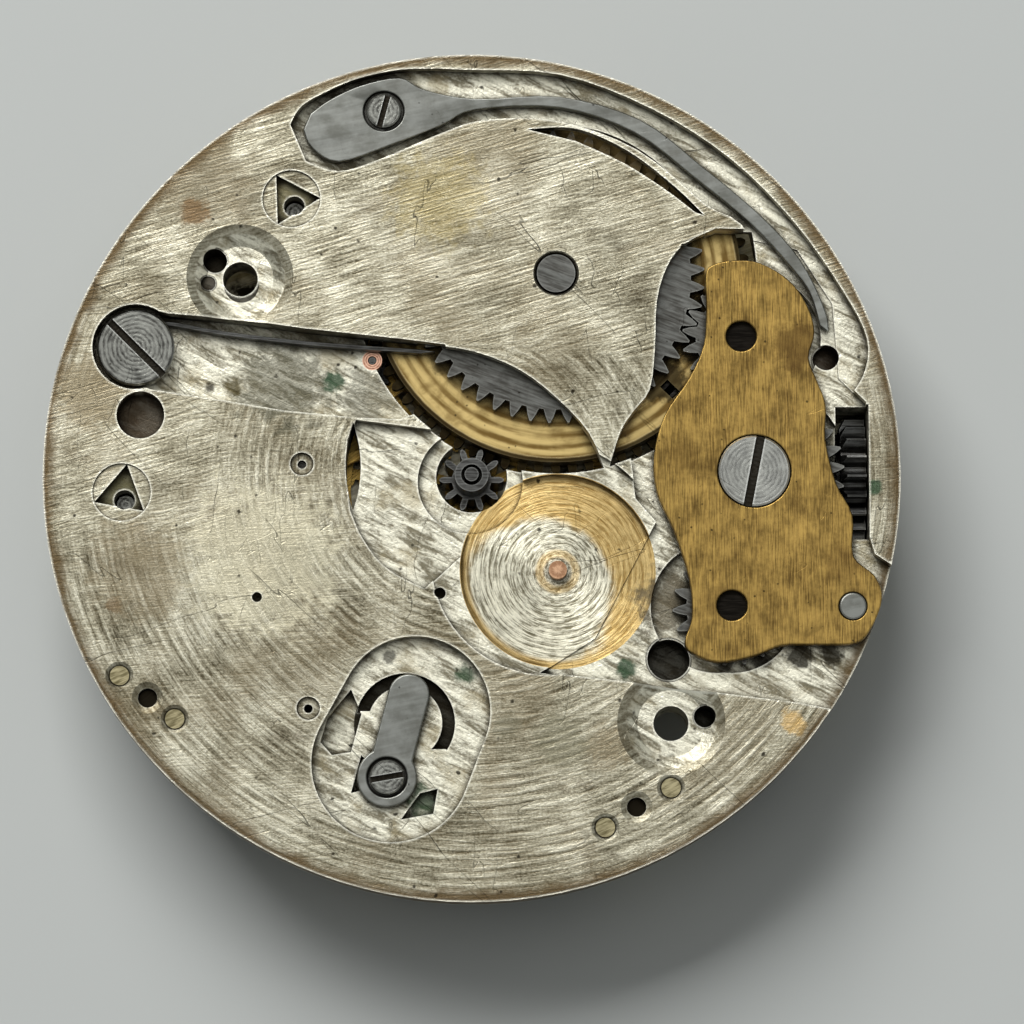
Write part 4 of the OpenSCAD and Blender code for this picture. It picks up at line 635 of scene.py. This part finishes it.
def turned_metal(name, base, dark, centre, pitch=0.12, rough=0.32, depth=0.008, amount=0.35,
                 bright=None, shaded_beyond=None, reach=0.25, marked=(), mottle=0.25):
    """A metal turned on a lathe, with rings about its axis and painted shade beyond a given radius, as
    in the dark gap round the barrel.
    """
    material, w = new_material(name)
    place = w.place()
    own = w.place(shift=(*centre[:2], 0), source=place)
    rings = w.group(RINGS, Place=own, Pitch=pitch, Waver=0.04)["Height"]
    patches = w.noise(place, scale=1.5, detail=3.0, roughness=0.6)
    tone = w.plus(w.times(rings, 1.0 - mottle), w.times(patches, mottle))
    shade = w.mix(w.span(tone, 0.3, 0.66), dark, base)
    shade, marks, grime_and_shade = aged(w, place, shade, dark, amount, bright=bright, reach=reach)
    shade = with_marks(w, place, shade, marked)
    # Painted shade: nearly black beyond the given radius
    if shaded_beyond is not None:
        ragged = w.times(w.noise(place, scale=3.0, detail=3.0), 0.08)
        from_axis = w.plus(w.away(place, *centre[:2]), ragged)
        gap_shade = w.span(from_axis, shaded_beyond, shaded_beyond + 0.1, to_high=0.9)
        shade = w.mix(gap_shade, shade, colour(34, 28, 18))
    roughness = w.plus(w.times(grime_and_shade, DIRT_ROUGHENS), rough)
    finish_metal(w, shade, roughness, w.minus(rings, marks), depth)
    return material


def ruby():
    material, w = new_material("ruby")
    place = w.place()
    base = w.mix(w.noise(place, scale=3.0, detail=2.0), colour(120, 18, 36), colour(176, 40, 60))
    finish_metal(w, base, 0.12, w.noise(place, scale=20.0, detail=2.0), depth=0.001, metallic=0.0,
                 settings={"IOR": 1.76, "Transmission Weight": 0.35})
    return material


def bush_and_jewel():
    """The copper bush of the third wheel, and the ruby of the pallets under the plate."""
    material, w = new_material("copper bush and jewel")
    place = w.place()
    bush = w.below(w.away(place, *THIRD_BUSH), THIRD_BUSH_REACH)
    own = w.place(shift=(*THIRD_BUSH, 0), source=place)
    rings = w.group(RINGS, Place=own, Pitch=0.08, Waver=0.02)["Height"]
    copper = w.mix(w.span(rings, 0.25, 0.65), colour(150, 104, 84), colour(226, 180, 154))
    # Grime and painted shade in the hollows round the bush
    copper = w.mix(w.hollows(0.15), copper, GRIME_AND_SHADE)
    base = w.mix(bush, colour(160, 30, 50), copper)
    finish_metal(w, base, w.blend(bush, 0.12, 0.32), rings, depth=0.004, metallic=bush)
    return material


def dress(material, *names):
    """Gives CAD nodes their material."""
    for name in names:
        mesh = nodes[name].data
        mesh.materials.clear()
        mesh.materials.append(material)


# The outer faces of the bridges and cocks lie below this height, in millimetres, and bear no marks
OUTER_FACES = top_of("barrel_drum") * 0.2

dress(plate_metal(), "main_plate")
dress(plain_metal("bridge nickel", colour(204, 198, 178), colour(132, 124, 100), width=0.08,
                  length=2.2, turn=20, rough=0.32, amount=0.55, bright=SILVER, wear=0.8, mottle=0.45,
                  # Painted shade on the bridges, seen down two foot holes of the plate
                  marked=[(-7.9, 6.63, 0.9, GRIME_AND_SHADE, 1.0), (6.75, -8.5, 0.9, GRIME_AND_SHADE, 1.0)],
                  marks_above=OUTER_FACES),
      "barrel_bridge", "train_bridge", "pallet_cock", "balance_cock")
dress(plain_metal("bar brass", colour(178, 146, 80), colour(92, 72, 38), length=0.8, turn=90,
                  rough=0.34, depth=0.01, amount=0.45, bright=colour(212, 186, 122), wear=0.7,
                  mottle=0.45,
                  marked=[(11.2, 4.4, 1.0, colour(84, 62, 34), 0.6),
                          (8.6, -4.4, 0.8, colour(90, 68, 36), 0.35),
                          (12.6, -3.0, 0.8, colour(92, 68, 36), 0.35),
                          (7.2, 0.6, 0.6, colour(92, 70, 36), 0.4)]),
      "rocking_bar")
dress(turned_metal("gilt barrel", colour(204, 178, 118), colour(112, 88, 46), BARREL, pitch=0.4,
                   amount=0.7, bright=colour(236, 214, 160), shaded_beyond=BARREL_COVER_RADIUS, reach=0.6,
                   marked=[SLOT_DARKENING,
                           # Painted shade where the barrel shows between the plate's tip and the bar
                           (6.5, 3.5, 1.0, GRIME_AND_SHADE, 0.85),
                           (7.9, 5.3, 1.4, GRIME_AND_SHADE, 0.85),
                           (-0.9, 4.1, 0.5, GRIME_AND_SHADE, 0.7),
                           (5.2, 1.9, 0.5, colour(84, 66, 44), 0.6)]),
      "barrel_drum", "barrel_cover")
dress(turned_metal("post brass", colour(200, 160, 128), colour(150, 112, 84), POST, pitch=0.32,
                   rough=0.4, reach=0.5),
      "minute_wheel_post")
dress(plain_metal("train brass", TRAIN_BRASS, colour(150, 116, 56), length=1.0, turn=35, rough=0.3),
      "centre_wheel", "third_wheel", "fourth_wheel", "balance_wheel", "balance_screws", "cock_cap")
dress(plain_metal("grey steel", STEEL, colour(104, 104, 98), width=0.2, length=1.6, turn=12,
                  rough=0.32, depth=0.003, bright=colour(228, 228, 220), wear=0.85, mottle=0.6),
      "return_spring", "end_piece", "escape_wheel", "pallet_fork", "bar_pin", "roller_table",
      "regulator", "hairspring_collet", "hairspring_stud", "rocking_bar_screw", "return_spring_screw",
      "click_screw", "end_piece_screw", "bridge_screws", "cap_screws")
dress(plain_metal("wheel steel", colour(110, 110, 106), colour(64, 62, 58), width=0.09, length=0.9,
                  turn=-20, rough=0.36, amount=0.6, bright=colour(150, 150, 144), marked=[SLOT_DARKENING]),
      "ratchet_wheel", "ratchet_drive_wheel", "crown_wheel", "setting_wheel", "barrel_arbor")
dress(plain_metal("screw steel with painted hole shade", SCREW_GREY, colour(88, 87, 82), width=0.06, length=0.8, turn=40,
                  rough=0.3,
                  # Painted shade on the screw tops, seen down two holes of the plate
                  marked=[(-11.03, -7.65, 0.9, GRIME_AND_SHADE, 1.0), (5.66, -11.31, 0.9, GRIME_AND_SHADE, 1.0)],
                  marks_above=DIAL_FACE - 1.2),
      "cock_screws")
dress(plain_metal("worn pin brass", colour(172, 162, 128), colour(96, 88, 62), width=0.08, length=0.5,
                  turn=25, rough=0.36, amount=0.7),
      "steady_pins")
dress(plain_metal("dark steel", colour(98, 98, 96), colour(44, 42, 40), length=1.0, rough=0.3,
                  bright=STEEL_WORN),
      "winding_pinion", "click_spring", "centre_pinion", "centre_arbor", "third_pinion",
      "fourth_pinion", "escape_pinion", "pallet_arbor", "balance_staff", "curb_pins")
# Painted shade: studs coloured near black so the holes of the bar read dark
dress(plain_metal("stud steel painted dark as hole shade", colour(34, 31, 27), colour(16, 14, 12), length=0.6, rough=0.5),
      "wheel_studs")
dress(plain_metal("blued steel", colour(44, 58, 104), colour(20, 26, 50), width=0.04, length=1.0,
                  rough=0.25),
      "hairspring")
dress(plain_metal("spring steel", colour(66, 64, 62), colour(30, 28, 26), width=0.04, length=1.0,
                  rough=0.3),
      "mainspring")
dress(ruby(), "lower_balance_jewel", "lower_end_stone", "pallet_stones", "impulse_pin",
      "bridge_jewels", "upper_balance_jewel", "upper_end_stone")
dress(bush_and_jewel(), "plate_jewels")


# Pieces that stand for CAD nodes with finer forms
SAME_POINT = 0.0005 * MM
FLAT_ANGLE = math.radians(0.5)


def plain_object(name, mesh, body, *replaced):
    """An object that rides on a body, where one is given, and stands for CAD nodes."""
    obj = bpy.data.objects.new(name, mesh)
    bpy.context.scene.collection.objects.link(obj)
    if body:
        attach(obj, body)
    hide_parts(*replaced)
    return obj


def smooth_by_angle(mesh, degrees=32):
    for face in mesh.polygons:
        face.use_smooth = True
    mesh.set_sharp_from_angle(angle=math.radians(degrees))


def joined_shape(name):
    """A CAD node's mesh, open for editing, with the points of its triangles joined."""
    shape = bmesh.new()
    shape.from_mesh(nodes[name].data)
    bmesh.ops.remove_doubles(shape, verts=shape.verts, dist=SAME_POINT)
    return shape


def merged_copy(name):
    """A CAD node's mesh with its loose triangles joined and its flat faces made whole."""
    shape = joined_shape(name)
    bmesh.ops.dissolve_limit(shape, angle_limit=FLAT_ANGLE, verts=shape.verts, edges=shape.edges)
    mesh = bpy.data.meshes.new(name + "_fine")
    shape.to_mesh(mesh)
    shape.free()
    return mesh


def broken_edges(name, width, body):
    """The node again with its sharp edges broken by a small round, width in millimetres."""
    segments, sharp_from = 2, 40
    mesh = merged_copy(name)
    mesh.materials.append(nodes[name].data.materials[0])
    obj = plain_object(name + "_fine", mesh, body, name)
    bevel = obj.modifiers.new("broken edges", "BEVEL")
    bevel.width = width * MM
    bevel.segments = segments
    bevel.limit_method = "ANGLE"
    bevel.angle_limit = math.radians(sharp_from)
    bevel.harden_normals = True
    smooth_by_angle(mesh, sharp_from)
    return obj


def shaping(name, inputs):
    """A Geometry Nodes tree with named inputs; None stands for a material."""
    tree = bpy.data.node_groups.new(name, "GeometryNodeTree")
    tree.interface.new_socket(name="Geometry", in_out="INPUT", socket_type="NodeSocketGeometry")
    for label, start in inputs.items():
        kind = "NodeSocketMaterial" if start is None else "NodeSocketFloat"
        socket = tree.interface.new_socket(name=label, in_out="INPUT", socket_type=kind)
        if start is not None:
            socket.default_value = start
    tree.interface.new_socket(name="Geometry", in_out="OUTPUT", socket_type="NodeSocketGeometry")
    w = Wiring(tree)
    return tree, w, w.add("NodeGroupInput").outputs, w.add("NodeGroupOutput").inputs[0]


def shaped(name, tree, values, replaced, start=None):
    """The plain mesh that a tree makes from a start mesh, as an object that stands for a CAD node."""
    host = bpy.data.objects.new(name + "_host", start or bpy.data.meshes.new(name + "_host"))
    bpy.context.scene.collection.objects.link(host)
    modifier = host.modifiers.new("shape", "NODES")
    modifier.node_group = tree
    for item in tree.interface.items_tree:
        if item.in_out == "INPUT" and item.name in values:
            modifier[item.identifier] = values[item.name]
    depsgraph = bpy.context.evaluated_depsgraph_get()
    mesh = bpy.data.meshes.new_from_object(host.evaluated_get(depsgraph))
    bpy.data.objects.remove(host)
    smooth_by_angle(mesh)
    return plain_object(name, mesh, body_of(replaced), replaced)


def realized(w, geometry, finish):
    """The end of each tree: real geometry with its material."""
    real = w.add("GeometryNodeRealizeInstances", {"Geometry": geometry}).outputs[0]
    return w.add("GeometryNodeSetMaterial", {"Geometry": real, "Material": finish}).outputs[0]


def slotted_screws():
    """One turned screw with a bevelled head, a slot, a shoulder and a thread, set at every point."""
    tree, w, given, result = shaping("slotted screws", {
        "Head Radius": 0.75, "Head Height": 0.36, "Bevel": 0.06, "Slot Width": 0.24, "Slot Depth": 0.2,
        "Shank Radius": 0.3, "Shank Length": 1.0, "Thread Radius": 0.2, "Thread Length": 0.1,
        "Finish": None})
    around, bury, slot_overrun = 48, 0.02, 1.0
    radius, bevel = given["Head Radius"], given["Bevel"]
    half_slot, slot_depth = w.times(given["Slot Width"], 0.5), given["Slot Depth"]

    def moved(shape, z):
        inputs = {"Geometry": shape, "Translation": w.join(z=z)}
        return w.add("GeometryNodeTransform", inputs).outputs[0]

    def rod(rod_radius, length, top):
        inputs = {"Vertices": around, "Radius": rod_radius, "Depth": length}
        shape = w.add("GeometryNodeMeshCylinder", inputs).outputs["Mesh"]
        return moved(shape, w.minus(top, w.times(length, 0.5)))

    def stored(shape, name, value):
        """Keeps a vector at each point for the screw's material."""
        inputs = {"Geometry": shape, "Name": name, "Value": value}
        return w.add("GeometryNodeStoreNamedAttribute", inputs, data_type="FLOAT_VECTOR",
                     domain="POINT").outputs[0]

    inputs = {"Vertices": around, "Radius Top": w.minus(radius, bevel), "Radius Bottom": radius,
              "Depth": bevel}
    under_bevel = w.times(bevel, -1.0)
    crown = moved(w.add("GeometryNodeMeshCone", inputs).outputs["Mesh"], under_bevel)
    head = rod(radius, w.minus(given["Head Height"], bevel), under_bevel)
    under_head = w.minus(bury, given["Head Height"])
    shank = rod(given["Shank Radius"], given["Shank Length"], under_head)
    under_shank = w.plus(w.minus(under_head, given["Shank Length"]), bury)
    thread = rod(given["Thread Radius"], given["Thread Length"], under_shank)
    whole = w.add("GeometryNodeMeshBoolean", operation="UNION", solver="EXACT")
    for shape in (crown, head, shank, thread):
        w.tree.links.new(shape, whole.inputs["Mesh 2"])
    across = w.plus(w.times(radius, 2.0), slot_overrun)
    size = w.join(across, given["Slot Width"], w.times(slot_depth, 2.0))
    slot = w.add("GeometryNodeMeshCube", {"Size": size}).outputs["Mesh"]
    cut = w.add("GeometryNodeMeshBoolean", {"Mesh 1": whole.outputs[0], "Mesh 2": slot},
                operation="DIFFERENCE", solver="EXACT").outputs[0]
    marked = stored(cut, "own_place", w.add("GeometryNodeInputPosition").outputs[0])
    marked = stored(marked, "slot_size", w.join(half_slot, slot_depth))
    lean = w.add("GeometryNodeInputNamedAttribute", {"Name": "lean"},
                 data_type="FLOAT_VECTOR").outputs[0]
    turn = w.add("FunctionNodeEulerToRotation", {0: lean}).outputs[0]
    inputs = {"Points": given["Geometry"], "Instance": marked, "Rotation": turn, "Scale": (MM, MM, MM)}
    set_out = w.add("GeometryNodeInstanceOnPoints", inputs).outputs[0]
    w.feed(result, realized(w, set_out, given["Finish"]))
    return tree


def coiled_strip():
    """A flat strip wound in a spiral, standing on edge."""
    tree, w, given, result = shaping("coiled strip", {
        "Inner Radius": 0.5, "Outer Radius": 1.7, "Turns": 7.0, "Thickness": 0.05, "Height": 0.12,
        "Start Angle": 0.0, "Middle X": 0.0, "Middle Y": 0.0, "Middle Z": 0.0, "Finish": None})
    steps_per_turn = 60
    inputs = {"Resolution": steps_per_turn, "Rotations": given["Turns"], "Height": 0.0,
              "Start Radius": given["Inner Radius"], "End Radius": given["Outer Radius"]}
    line = w.add("GeometryNodeCurveSpiral", inputs).outputs[0]
    upright = w.add("GeometryNodeSetCurveNormal", {"Curve": line}, mode="Z_UP").outputs[0]
    inputs = {"Width": given["Thickness"], "Height": given["Height"]}
    section = w.add("GeometryNodeCurvePrimitiveQuadrilateral", inputs).outputs[0]
    inputs = {"Curve": upright, "Profile Curve": section, "Fill Caps": True}
    strip = w.add("GeometryNodeCurveToMesh", inputs).outputs[0]
    middle_point = w.join(given["Middle X"], given["Middle Y"], given["Middle Z"])
    inputs = {"Geometry": strip, "Rotation": w.join(z=given["Start Angle"])}
    turned = w.add("GeometryNodeTransform", inputs).outputs[0]
    inputs = {"Geometry": turned, "Translation": middle_point}
    placed = w.add("GeometryNodeTransform", inputs).outputs[0]
    scaled = w.add("GeometryNodeTransform", {"Geometry": placed, "Scale": (MM, MM, MM)}).outputs[0]
    w.feed(result, realized(w, scaled, given["Finish"]))
    return tree


def parts_of(name):
    """Middle and height range of each separate solid of a node, in millimetres, in a fixed order."""
    shape = joined_shape(name)
    left, found = set(shape.verts), []
    while left:
        reached, queue = set(), [next(iter(left))]
        while queue:
            vert = queue.pop()
            if vert not in reached:
                reached.add(vert)
                queue.extend(edge.other_vert(vert) for edge in vert.link_edges)
        left -= reached
        spread = [[vert.co[axis] / MM for vert in reached] for axis in range(3)]
        x, y = ((min(side) + max(side)) / 2 for side in spread[:2])
        found.append((x, y, min(spread[2]), max(spread[2])))
    shape.free()
    return sorted(found)


def points(name, places):
    """Mesh of points and the way each screw leans. A place is x, y, z in millimetres and the lean."""
    mesh = bpy.data.meshes.new(name)
    mesh.from_pydata([(x * MM, y * MM, z * MM) for x, y, z, lean in places], [], [])
    leans = mesh.attributes.new("lean", "FLOAT_VECTOR", "POINT")
    for i, place in enumerate(places):
        leans.data[i].vector = place[3]
    return mesh


def screw_finish(name, base, dark, rough):
    """Turned and polished screw metal, with rings about each screw's own axis and a slot painted dark
    as shade.
    """
    slack, slot_from = 0.005, -0.2
    material, w = new_material(name)

    def kept(attribute):
        return w.add("ShaderNodeAttribute", attribute_name=attribute,
                     attribute_type="GEOMETRY").outputs["Vector"]

    own = kept("own_place")
    place = w.place()
    off_axis = w.place(shift=(0.25, 0.12, 0), source=own)
    rings = w.group(RINGS, Place=own, Pitch=0.15, Waver=0.12)["Height"]
    arcs = w.group(STROKES, Place=off_axis, Pitch=0.2, Length=3.0)["Height"]
    patches = w.noise(place, scale=1.6, detail=4.0, roughness=0.65)
    tone = w.plus(w.times(rings, 0.35), w.times(arcs, 0.4), w.times(patches, 0.35))
    shade = w.mix(w.span(tone, 0.38, 0.7), dark, base)
    shade, marks, grime_and_shade = aged(w, place, shade, dark, 0.45, bright=colour(206, 206, 200), wear=0.8,
                              reach=0.2)
    half_width, slot_depth = w.split(kept("slot_size"))[:2]
    own_y, own_z = w.split(own)[1:]
    between = w.below(w.off(own_y, 0.0), w.plus(half_width, slack))
    under_face = w.below(own_z, w.times(slot_depth, slot_from))
    over_floor = w.above(own_z, w.minus(-slack, slot_depth))
    # Painted shade inside the slot, between its walls and above its floor
    shade = w.mix(w.times(between, under_face, over_floor, 0.94), shade, GRIME_AND_SHADE)
    roughness = w.span(tone, 0.35, 0.7, rough + 0.14, rough)
    roughness = w.plus(roughness, w.times(grime_and_shade, DIRT_ROUGHENS))
    finish_metal(w, shade, roughness, w.minus(tone, marks), depth=0.02)
    return material


SCREWS = slotted_screws()
COIL = coiled_strip()
SCREW_STEEL = screw_finish("turned screw steel", SCREW_GREY, colour(56, 55, 52), 0.26)
BRASS_SCREW = screw_finish("turned screw brass", TRAIN_BRASS, colour(140, 108, 54), 0.28)
THREAD_LENGTH = 0.3
THREAD_TO_SHANK = 0.85


def screws(name, lean_of, head, slot, shank, thread=None, bevel=0.05, up=True):
    """Replaces a node of upright or hanging screws. Sizes in millimetres: head (radius, height), slot
    (width, depth), shank (radius, length or None for all but the thread) and the thread's radius."""
    flip = 0.0 if up else math.pi
    found = parts_of(name)
    places = [(x, y, high if up else low, (flip, 0.0, math.radians(lean_of(x))))
              for x, y, low, high in found]
    low, high = found[0][2:]
    length = high - low - head[1]
    shank_length = shank[1] or length - THREAD_LENGTH
    values = {"Head Radius": head[0], "Head Height": head[1], "Bevel": bevel, "Slot Width": slot[0],
              "Slot Depth": slot[1], "Shank Radius": shank[0], "Shank Length": shank_length,
              "Thread Radius": thread or shank[0] * THREAD_TO_SHANK,
              "Thread Length": length - shank_length, "Finish": SCREW_STEEL}
    shaped(name + "_turned", SCREWS, values, name, points(name + "_points", places))


def rim_screws():
    """The gilt screws round the rim of the balance."""
    name = "balance_screws"
    count = len(parts_of(name))
    x, y, z = *BALANCE[:2], middle(name)[2]
    rim_radius, head_out, first = 4.9, 0.27, 35
    head_top = rim_radius + head_out
    places = []
    for k in range(count):
        angle = math.radians(first + (k + 0.5) * 360 / count)
        lean = (0.0, math.pi / 2, angle)
        places.append((x + head_top * math.cos(angle), y + head_top * math.sin(angle), z, lean))
    values = {"Head Radius": 0.16, "Head Height": 0.26, "Bevel": 0.03, "Slot Width": 0.06,
              "Slot Depth": 0.07, "Shank Radius": 0.09, "Shank Length": 0.2, "Thread Radius": 0.08,
              "Thread Length": 0.1, "Finish": BRASS_SCREW}
    shaped(name + "_turned", SCREWS, values, name, points("rim_points", places))


def coil(name, inner, outer, turns, thickness, start, where):
    """Replaces a spring by a strip wound round a place, from an inner to an outer radius."""
    low, high = box_of(name)
    values = {"Inner Radius": inner, "Outer Radius": outer, "Turns": turns, "Thickness": thickness,
              "Height": high[2] - low[2], "Start Angle": math.radians(start), "Middle X": where[0],
              "Middle Y": where[1], "Middle Z": middle(name)[2],
              "Finish": nodes[name].data.materials[0]}
    shaped(name + "_wound", COIL, values, name)


SMALL_HEAD = {"head": (0.58, 0.24), "slot": (0.2, 0.14), "shank": (0.32, None)}
BAR_HEAD = 0.25
bar_shoulder = top_of("rocking_bar_screw") - BAR_HEAD - box_of("crown_wheel")[0][2]
screws("bridge_screws", lambda x: 30 + 47 * x, head=(0.75, 0.36), slot=(0.24, 0.2), shank=(0.36, None),
       up=False)
screws("return_spring_screw", lambda x: 75, **SMALL_HEAD)
screws("end_piece_screw", lambda x: 10, **SMALL_HEAD)
screws("click_screw", lambda x: -45, head=(1.33, 0.45), slot=(0.26, 0.26), shank=(0.6, None),
       bevel=0.07)
screws("rocking_bar_screw", lambda x: 79, head=(1.22, BAR_HEAD), slot=(0.3, 0.16),
       shank=(0.89, bar_shoulder), thread=0.55, bevel=0.06)
screws("cap_screws", lambda x: 15, head=(0.2, 0.08), slot=(0.07, 0.045), shank=(0.12, 0.1),
       thread=0.11, bevel=0.015, up=False)
rim_screws()
coil("hairspring", inner=0.53, outer=1.75, turns=7.0, thickness=0.05, start=250, where=BALANCE)
coil("mainspring", inner=1.38, outer=5.97, turns=12.0, thickness=0.12, start=40, where=BARREL)
for fine_node, fine_width in (("rocking_bar", 0.06), ("end_piece", 0.08), ("barrel_bridge", 0.07),
                              ("train_bridge", 0.07), ("balance_cock", 0.07), ("pallet_cock", 0.04),
                              ("cock_screws", 0.04), ("click_spring", 0.02), ("bar_pin", 0.08)):
    broken_edges(fine_node, fine_width, body_of(fine_node))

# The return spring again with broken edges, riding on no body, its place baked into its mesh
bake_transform(broken_edges("return_spring", 0.09, None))


# Floor, light and camera
def floor_material():
    material, w = new_material("pale floor")
    place = w.place()
    base = w.mix(w.noise(place, scale=0.02, detail=2.0), colour(196, 199, 196), colour(200, 203, 200))
    shader = w.add("ShaderNodeBsdfPrincipled", {"Base Color": base, "Roughness": 0.9})
    w.add("ShaderNodeOutputMaterial", {"Surface": shader.outputs[0]})
    return material


def floor():
    half = 1.0
    corners = [(-half, -half, 0), (half, -half, 0), (half, half, 0), (-half, half, 0)]
    mesh = bpy.data.meshes.new("floor")
    mesh.from_pydata(corners, [], [(0, 1, 2, 3)])
    mesh.materials.append(floor_material())
    obj = bpy.data.objects.new("floor", mesh)
    bpy.context.scene.collection.objects.link(obj)


def soft_box(name, place, size, power):
    """A soft area light that faces the movement. Place and size in metres, power in watts."""
    light = bpy.data.lights.new(name, "AREA")
    light.shape = "RECTANGLE"
    light.size, light.size_y = size
    light.energy = power
    obj = bpy.data.objects.new(name, light)
    obj.location = place
    obj.rotation_euler = (-Vector(place)).to_track_quat("-Z", "Y").to_euler()
    bpy.context.scene.collection.objects.link(obj)


def studio():
    """Pale floor, a window light from the upper left, a soft light overhead and a quiet room."""
    floor()
    world = bpy.data.worlds.new("studio")
    world.use_nodes = True
    world.node_tree.nodes.clear()
    w = Wiring(world.node_tree)
    rays = w.add("ShaderNodeLightPath").outputs
    seen = w.most(rays["Is Camera Ray"], rays["Is Transmission Ray"], rays["Is Glossy Ray"])
    shown = w.mix(seen, colour(106, 108, 108), colour(184, 187, 186))
    background = w.add("ShaderNodeBackground", {"Color": shown, "Strength": 1.0})
    w.add("ShaderNodeOutputWorld", {"Surface": background.outputs[0]})
    bpy.context.scene.world = world
    soft_box("window", (-0.16, 0.36, 0.36), size=(0.36, 0.3), power=3.0)
    soft_box("overhead", (0.04, 0.1, 0.5), size=(0.4, 0.4), power=0.24)


def photo_camera():
    """Camera at the photograph's angle, tilted from straight down toward the plate's lower edge."""
    tilt = math.radians(9)
    distance = 0.22
    pixel = 0.03415 * MM
    frame_pixels = 1024
    centre_pixel = (471.6, 474.0)
    sensor = 36
    camera = bpy.data.cameras.new("camera")
    camera.sensor_width = sensor
    camera.lens = sensor * distance / pixel / frame_pixels
    camera.shift_x = 0.5 - centre_pixel[0] / frame_pixels
    camera.shift_y = centre_pixel[1] / frame_pixels - 0.5
    camera.clip_start = 0.01
    camera.clip_end = 10
    obj = bpy.data.objects.new("camera", camera)
    obj.rotation_euler = (tilt, 0, 0)
    obj.location = (0, -distance * math.sin(tilt), DIAL_FACE * MM + distance * math.cos(tilt))
    bpy.context.scene.collection.objects.link(obj)
    bpy.context.scene.camera = obj


studio()
photo_camera()
bpy.context.scene.view_settings.view_transform = "Standard"
